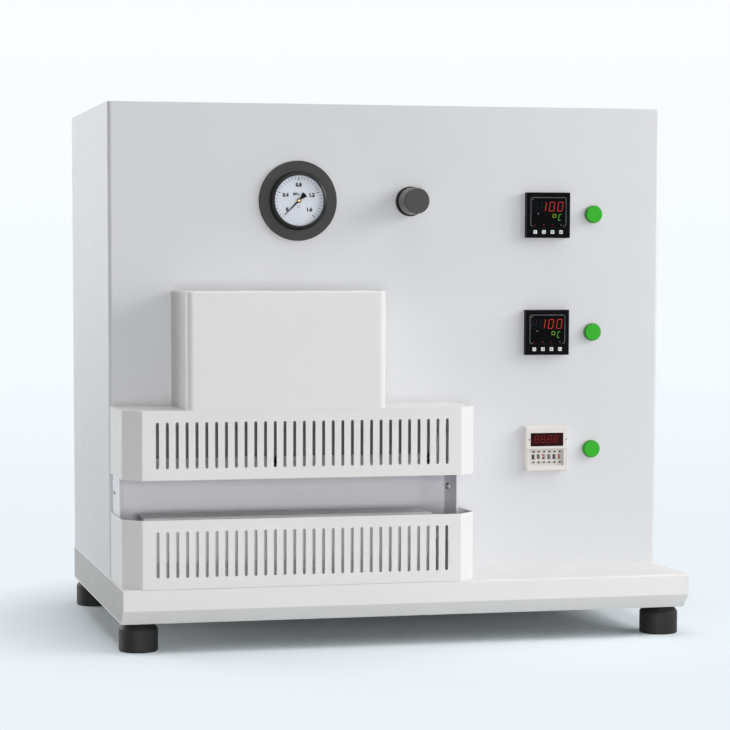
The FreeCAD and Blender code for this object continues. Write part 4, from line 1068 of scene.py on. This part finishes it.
@dataclass
class Timer(SubAssembly):
    """Timer: its display, the flap over its number wheels, the wheels' figures and their buttons."""

    hinge_length: float = 45.6 * MM
    hinge_line: float = 0.35 * MM
    flap_line: float = 0.28 * MM
    flap_margin: float = 1.9 * MM
    flap_rise: float = 0.6 * MM
    flap_short: float = 1.4 * MM
    digit_left: float = 4.4 * MM
    digit_pitch: float = 6.95 * MM
    digit_size: Triple = (7.4 * MM, 0.5 * MM, 3.9 * MM)
    digit_rise: float = 0.5 * MM
    digits: int = 4
    dot_insets: Pair = (4.2 * MM, 2.2 * MM)
    dot_radius: float = 0.8 * MM
    wheel_flats: int = 10
    red_every: int = 3
    figure_height: float = 3.7 * MM
    figure_weight: float = 0.26 * MM
    button_offset: float = 5.7 * MM
    button_width: float = 2.4 * MM
    button_height: float = 1.8 * MM
    button_front: float = 2.8 * MM
    button_cap: float = 0.2 * MM
    button_edge: float = 0.06 * MM
    shown: tuple[int, ...] = (8, 0, 2, 0, 8, 5)

    def build(self) -> None:
        """Build the display, the flap's lines and what belongs to each wheel."""
        self.light_window()
        self.line_flap()
        self.cap_buttons()
        for place, digit in enumerate(self.shown, start=1):
            self.print_wheel(place, digit)

    def light_window(self) -> None:
        """Light four dim figures in the window, from its left end."""
        low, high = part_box("timer_window")
        digits = SevenSegment(*self.digit_size)
        bottom = (low.z + high.z) / 2.0 - digits.height / 2.0 + self.digit_rise
        corner = Vector((low.x + self.digit_left, low.y, bottom))
        self.add("timer_figures", digits.line(("abcdefg",) * self.digits, corner, self.digit_pitch),
                 "dim_red_light", "window_red")

    def line_flap(self) -> None:
        """Mark the hinge line, the flap's sides and the dots beside the window."""
        low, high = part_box("timer_case")
        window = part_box("timer_window")
        hinge_z = (window[0].z + middle("number_wheel_1").z + self.button_offset) / 2.0
        front = low.y - SKIN / 2.0
        lines = Shape()
        lines.block(Vector(((low.x + high.x) / 2.0, front, hinge_z)),
                    Vector((self.hinge_length, SKIN, self.hinge_line)))
        for x in (low.x + self.flap_margin, high.x - self.flap_margin):
            lines.block(Vector((x, front, (low.z + hinge_z) / 2.0 + self.flap_rise)),
                        Vector((self.flap_line, SKIN, hinge_z - low.z - self.flap_short)))
        self.add("timer_flap_lines", lines, "cream_shadow", "timer_cream")
        dots = Shape()
        for x in (low.x + self.dot_insets[0], high.x - self.dot_insets[1]):
            dots.drum(Vector((x, front, (window[0].z + window[1].z) / 2.0)), self.dot_radius, SKIN,
                      sides=DOT_SIDES)
        self.add("timer_dots", dots, "switch_dark_and_socket_shade", "switch_grey")

    def cap_buttons(self) -> None:
        """Cap the small buttons above and below each wheel with dark tops."""
        caps = Shape()
        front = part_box("timer_case")[0].y + self.button_front
        for place in range(1, len(self.shown) + 1):
            wheel = middle(f"number_wheel_{place}")
            for side in (-1, 1):
                centre = Vector((wheel.x, front - self.button_cap / 2.0, wheel.z + side * self.button_offset))
                caps.block(centre, Vector((self.button_width, self.button_cap, self.button_height)),
                           self.button_edge)
        self.add("timer_button_caps", caps, "switch_dark_and_socket_shade", "switch_grey")

    def print_wheel(self, place: int, digit: int) -> None:
        """Print the ten figures round one number wheel.

        Args:
            place: Number of the wheel from the left, from 1.
            digit: Figure that faces the front.
        """
        node = f"number_wheel_{place}"
        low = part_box(node)[0]
        axis = middle(node)
        spot = Vector((axis.x, low.y - SKIN / 2.0, axis.z))
        ring = Shape()
        for step in range(self.wheel_flats):
            text = str((digit + step) % self.wheel_flats)
            one = Shape().figures(text, spot, self.figure_height, self.figure_weight)
            ring.joined(one.moved(turn(axis, "X", 2.0 * math.pi * step / self.wheel_flats)))
        red = place % self.red_every == 0
        finish, slot = ("red_ink", "window_red") if red else ("black_ink", "pointer_black")
        self.add(f"{node}_figures", ring, finish, slot, f"{node}_body")


@dataclass
class Instruments(SubAssembly):
    """Two controllers, the timer and the three push buttons."""

    coats: ClassVar[Coats] = {
        "case_black": ("controller_cases",),
        "display_black": ("controller_windows",),
        "timer_cream": ("timer_case",),
        "display_red": ("timer_window",),
        "collar_green": ("switch_bodies",),
        "key_white": tuple(f"{row}_key_{place}" for row in ("upper", "lower") for place in range(1, 5)),
        "wheel_ivory": tuple(f"number_wheel_{place}" for place in range(1, 7)),
        "button_green": ("upper_heat_button", "lower_heat_button", "seal_button"),
    }

    def build(self) -> None:
        """Build each controller's and the timer's detail."""
        low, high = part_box("controller_windows")
        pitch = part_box("upper_key_1")[0].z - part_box("lower_key_1")[0].z
        height = high.z - low.z - pitch
        lower = (low, Vector((high.x, high.y, low.z + height)))
        upper = (Vector((low.x, low.y, high.z - height)), high)
        Controller(self.finishes, "upper", upper).build()
        Controller(self.finishes, "lower", lower).build()
        Timer(self.finishes).build()


@dataclass
class RearFittings(SubAssembly):
    """Power inlet with its rocker, air inlet and silencer."""

    coats: ClassVar[Coats] = {
        "inlet_black": ("power_inlet", "power_rocker"),
        "fitting_metal": ("rear_fittings",),
    }
    mark_size: float = 3.2 * MM
    mark_line: float = 0.6 * MM
    ray_start: float = 1.0 * MM

    def build(self) -> None:
        """Print the bar for on and the ring for off on the rocker's two pads."""
        low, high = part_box("power_rocker")
        rise = (high.z - low.z) / 4.0
        bar = Shape().block(Vector((0, -SKIN / 2.0, 0)), Vector((self.mark_line, SKIN, self.mark_size)))
        ring = Shape().ring(Vector(), self.mark_size, self.mark_line)
        marks = Shape()
        for mark, offset in ((bar, rise), (ring, -rise)):
            centre = (low + high) / 2.0 + Vector((0, 0, offset))
            marks.joined(mark.moved(self.onto("power_rocker", centre)))
        self.add("rocker_marks", marks, "key_white", "key_white", "rocker")

    def onto(self, node: str, centre: Vector) -> Matrix:
        """Find how a shape at the origin that faces the front is laid on a node's slanted back.

        Args:
            node: Name of the node.
            centre: Point in the node, level with the place looked for.

        Returns:
            The move from the origin to the place on the surface.
        """
        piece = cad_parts[node]
        start = Vector((centre.x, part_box(node)[1].y + self.ray_start, centre.z))
        to_piece = piece.matrix_world.inverted()
        _, spot, normal, _ = piece.ray_cast(to_piece @ start, to_piece.to_3x3() @ Vector((0, -1, 0)))
        outward = (piece.matrix_world.to_3x3() @ normal).normalized()
        lean = Vector((0, -1, 0)).rotation_difference(outward).to_matrix().to_4x4()
        return Matrix.Translation(piece.matrix_world @ spot) @ lean


@dataclass
class Studio:
    """Pale floor, soft light and the camera."""

    floor_size: float = 14.0
    near_floor: Colour = (0.66, 0.69, 0.71)
    far_floor: Colour = (0.36, 0.37, 0.38)
    lit_range: Pair = (0.42, 0.75)
    seen_floor: tuple[Colour, Colour] = ((0.84, 0.905, 0.945), (0.86, 0.92, 0.96))
    floor_cloud: Pair = (0.6, 2.0)
    fade_range: Pair = (0.30, 0.49)
    ground: tuple[Colour, Colour] = ((0.838, 0.904, 0.956), (0.888, 0.939, 0.983))
    ground_range: Pair = (0.8, 2.6)
    horizon: Colour = (0.921, 0.973, 0.991)
    horizon_range: Pair = (2.6, 7.0)
    sky: Colour = (0.965, 0.982, 1.0)
    sky_climb: float = 0.09
    fill_colour: Colour = (0.98, 0.99, 1.0)
    fill_strength: float = 0.04
    lamp_aim: Triple = (0.0, 0.0, 0.35)
    lamps: tuple[tuple[str, Triple, float, float], ...] = (
        ("right_lamp", (1.9, -1.7, 1.2), 1.2, 11.0),
        ("right_side_lamp", (1.6, -0.55, 0.95), 0.8, 20.0),
        ("front_lamp", (-0.55, -2.8, 0.3), 0.7, 31.0),
        ("right_front_lamp", (1.5, -2.5, 0.2), 0.4, 6.0),
        ("top_lamp", (0.0, -0.2, 2.6), 2.0, 32.5),
        ("left_lamp", (-2.6, 1.6, 0.9), 1.8, 17.0),
        ("left_low_lamp", (-2.6, 1.6, 0.25), 0.8, 17.0),
        ("left_rear_lamp", (-2.1, 2.7, 1.0), 1.6, 30.0),
    )
    sensor: float = 36.0
    image: float = 730.0
    focal: float = 2337.75
    eye: Triple = (-0.6367, -2.4974, 0.3887)
    yaw: float = 12.456
    pitch: float = 4.734
    axis_u: float = 290.0
    axis_v: float = 460.0
    clip: Pair = (0.05, 50.0)

    def build(self) -> None:
        """Lay the floor, hang the lamps and set the camera."""
        self.lay_floor()
        self.hang_lamps()
        self.set_world()
        self.set_camera()

    def lay_floor(self) -> None:
        """Lay a wide pale floor that keeps the shadow and fades into the background away from it."""
        mesh = bmesh.new()
        bmesh.ops.create_grid(mesh, x_segments=1, y_segments=1, size=self.floor_size / 2.0)
        data = bpy.data.meshes.new("studio_floor")
        mesh.to_mesh(data)
        mesh.free()
        sheet = Coat("studio_floor")
        away = sheet.add("VectorMath", sheet.places, operation="LENGTH").outputs["Value"]
        lit, fade, near, far = (sheet.spread(away, over=over) for over in (
            self.lit_range, self.fade_range, self.ground_range, self.horizon_range))
        direct = sheet.direct_rays()
        seen = sheet.blend(sheet.spread(sheet.noise(self.floor_cloud)), *self.seen_floor)
        sheet.colour(sheet.blend(direct, sheet.blend(lit, self.near_floor, self.far_floor), seen))
        sheet.set(Roughness=0.9, Specular_IOR_Level=0.1)
        shown = sheet.add("Emission", sheet.blend(far, sheet.blend(near, *self.ground), self.horizon))
        share = sheet.add("Math", direct, fade, operation="MULTIPLY")
        sheet.end("Material Output", share.outputs[0], sheet.shader.outputs[0], shown.outputs[0])
        data.materials.append(sheet.material)
        floor = bpy.data.objects.new("studio_floor", data)
        bpy.context.scene.collection.objects.link(floor)

    def hang_lamps(self) -> None:
        """Hang soft lamps at the right, low in front, overhead and at the left rear."""
        for name, place, size, power in self.lamps:
            light = bpy.data.lights.new(name, "AREA")
            light.shape = "SQUARE"
            light.size = size
            light.energy = power
            lamp = bpy.data.objects.new(name, light)
            lamp.location = place
            lamp.rotation_euler = (Vector(self.lamp_aim) - lamp.location).to_track_quat("-Z", "Y").to_euler()
            lamp.visible_camera = False
            bpy.context.scene.collection.objects.link(lamp)

    def set_world(self) -> None:
        """Light the shadows faintly and show a near-white background behind the machine."""
        world = bpy.data.worlds.new("studio")
        bpy.context.scene.world = world
        world.use_nodes = True
        sheet = NodeSheet(world.node_tree, "Generated")
        split = sheet.add("SeparateXYZ", sheet.places)
        climb = sheet.spread(split.outputs["Z"], over=(0.0, self.sky_climb))
        shown = sheet.tree.nodes["Background"]
        sheet.join(sheet.blend(climb, self.horizon, self.sky), shown.inputs["Color"])
        fill = sheet.add("Background")
        fill.inputs["Color"].default_value = (*self.fill_colour, 1.0)
        fill.inputs["Strength"].default_value = self.fill_strength
        sheet.end("World Output", sheet.direct_rays(), fill.outputs[0], shown.outputs[0])

    def set_camera(self) -> None:
        """Set the camera where the photograph was taken from."""
        data = bpy.data.cameras.new("camera")
        data.sensor_width = self.sensor
        data.lens = self.focal * self.sensor / self.image
        data.shift_x = (self.image / 2.0 - self.axis_u) / self.image
        data.shift_y = (self.axis_v - self.image / 2.0) / self.image
        data.clip_start, data.clip_end = self.clip
        yaw = math.radians(self.yaw)
        pitch = math.radians(self.pitch)
        forward = Vector((math.sin(yaw) * math.cos(pitch), math.cos(yaw) * math.cos(pitch), -math.sin(pitch)))
        right = Vector((math.cos(yaw), -math.sin(yaw), 0.0))
        stand = Matrix((right, right.cross(forward), -forward)).transposed()
        camera = bpy.data.objects.new("camera", data)
        camera.matrix_world = Matrix.Translation(Vector(self.eye)) @ stand.to_4x4()
        bpy.context.scene.collection.objects.link(camera)
        bpy.context.scene.camera = camera
        bpy.context.scene.view_settings.view_transform = "Standard"


def main() -> None:
    """Dress and complete the machine, then set the studio round it."""
    logging.basicConfig(level=logging.INFO, format="%(message)s")
    finishes = Finishes()
    kinds = (Cabinet, Guards, Jaws, PressureGauge, Regulator, Instruments, RearFittings)
    assemblies = [kind(finishes) for kind in kinds]
    for assembly in assemblies:
        assembly.dress()
    for assembly in assemblies:
        assembly.build()
    Studio().build()


if __name__ == "__main__":
    main()
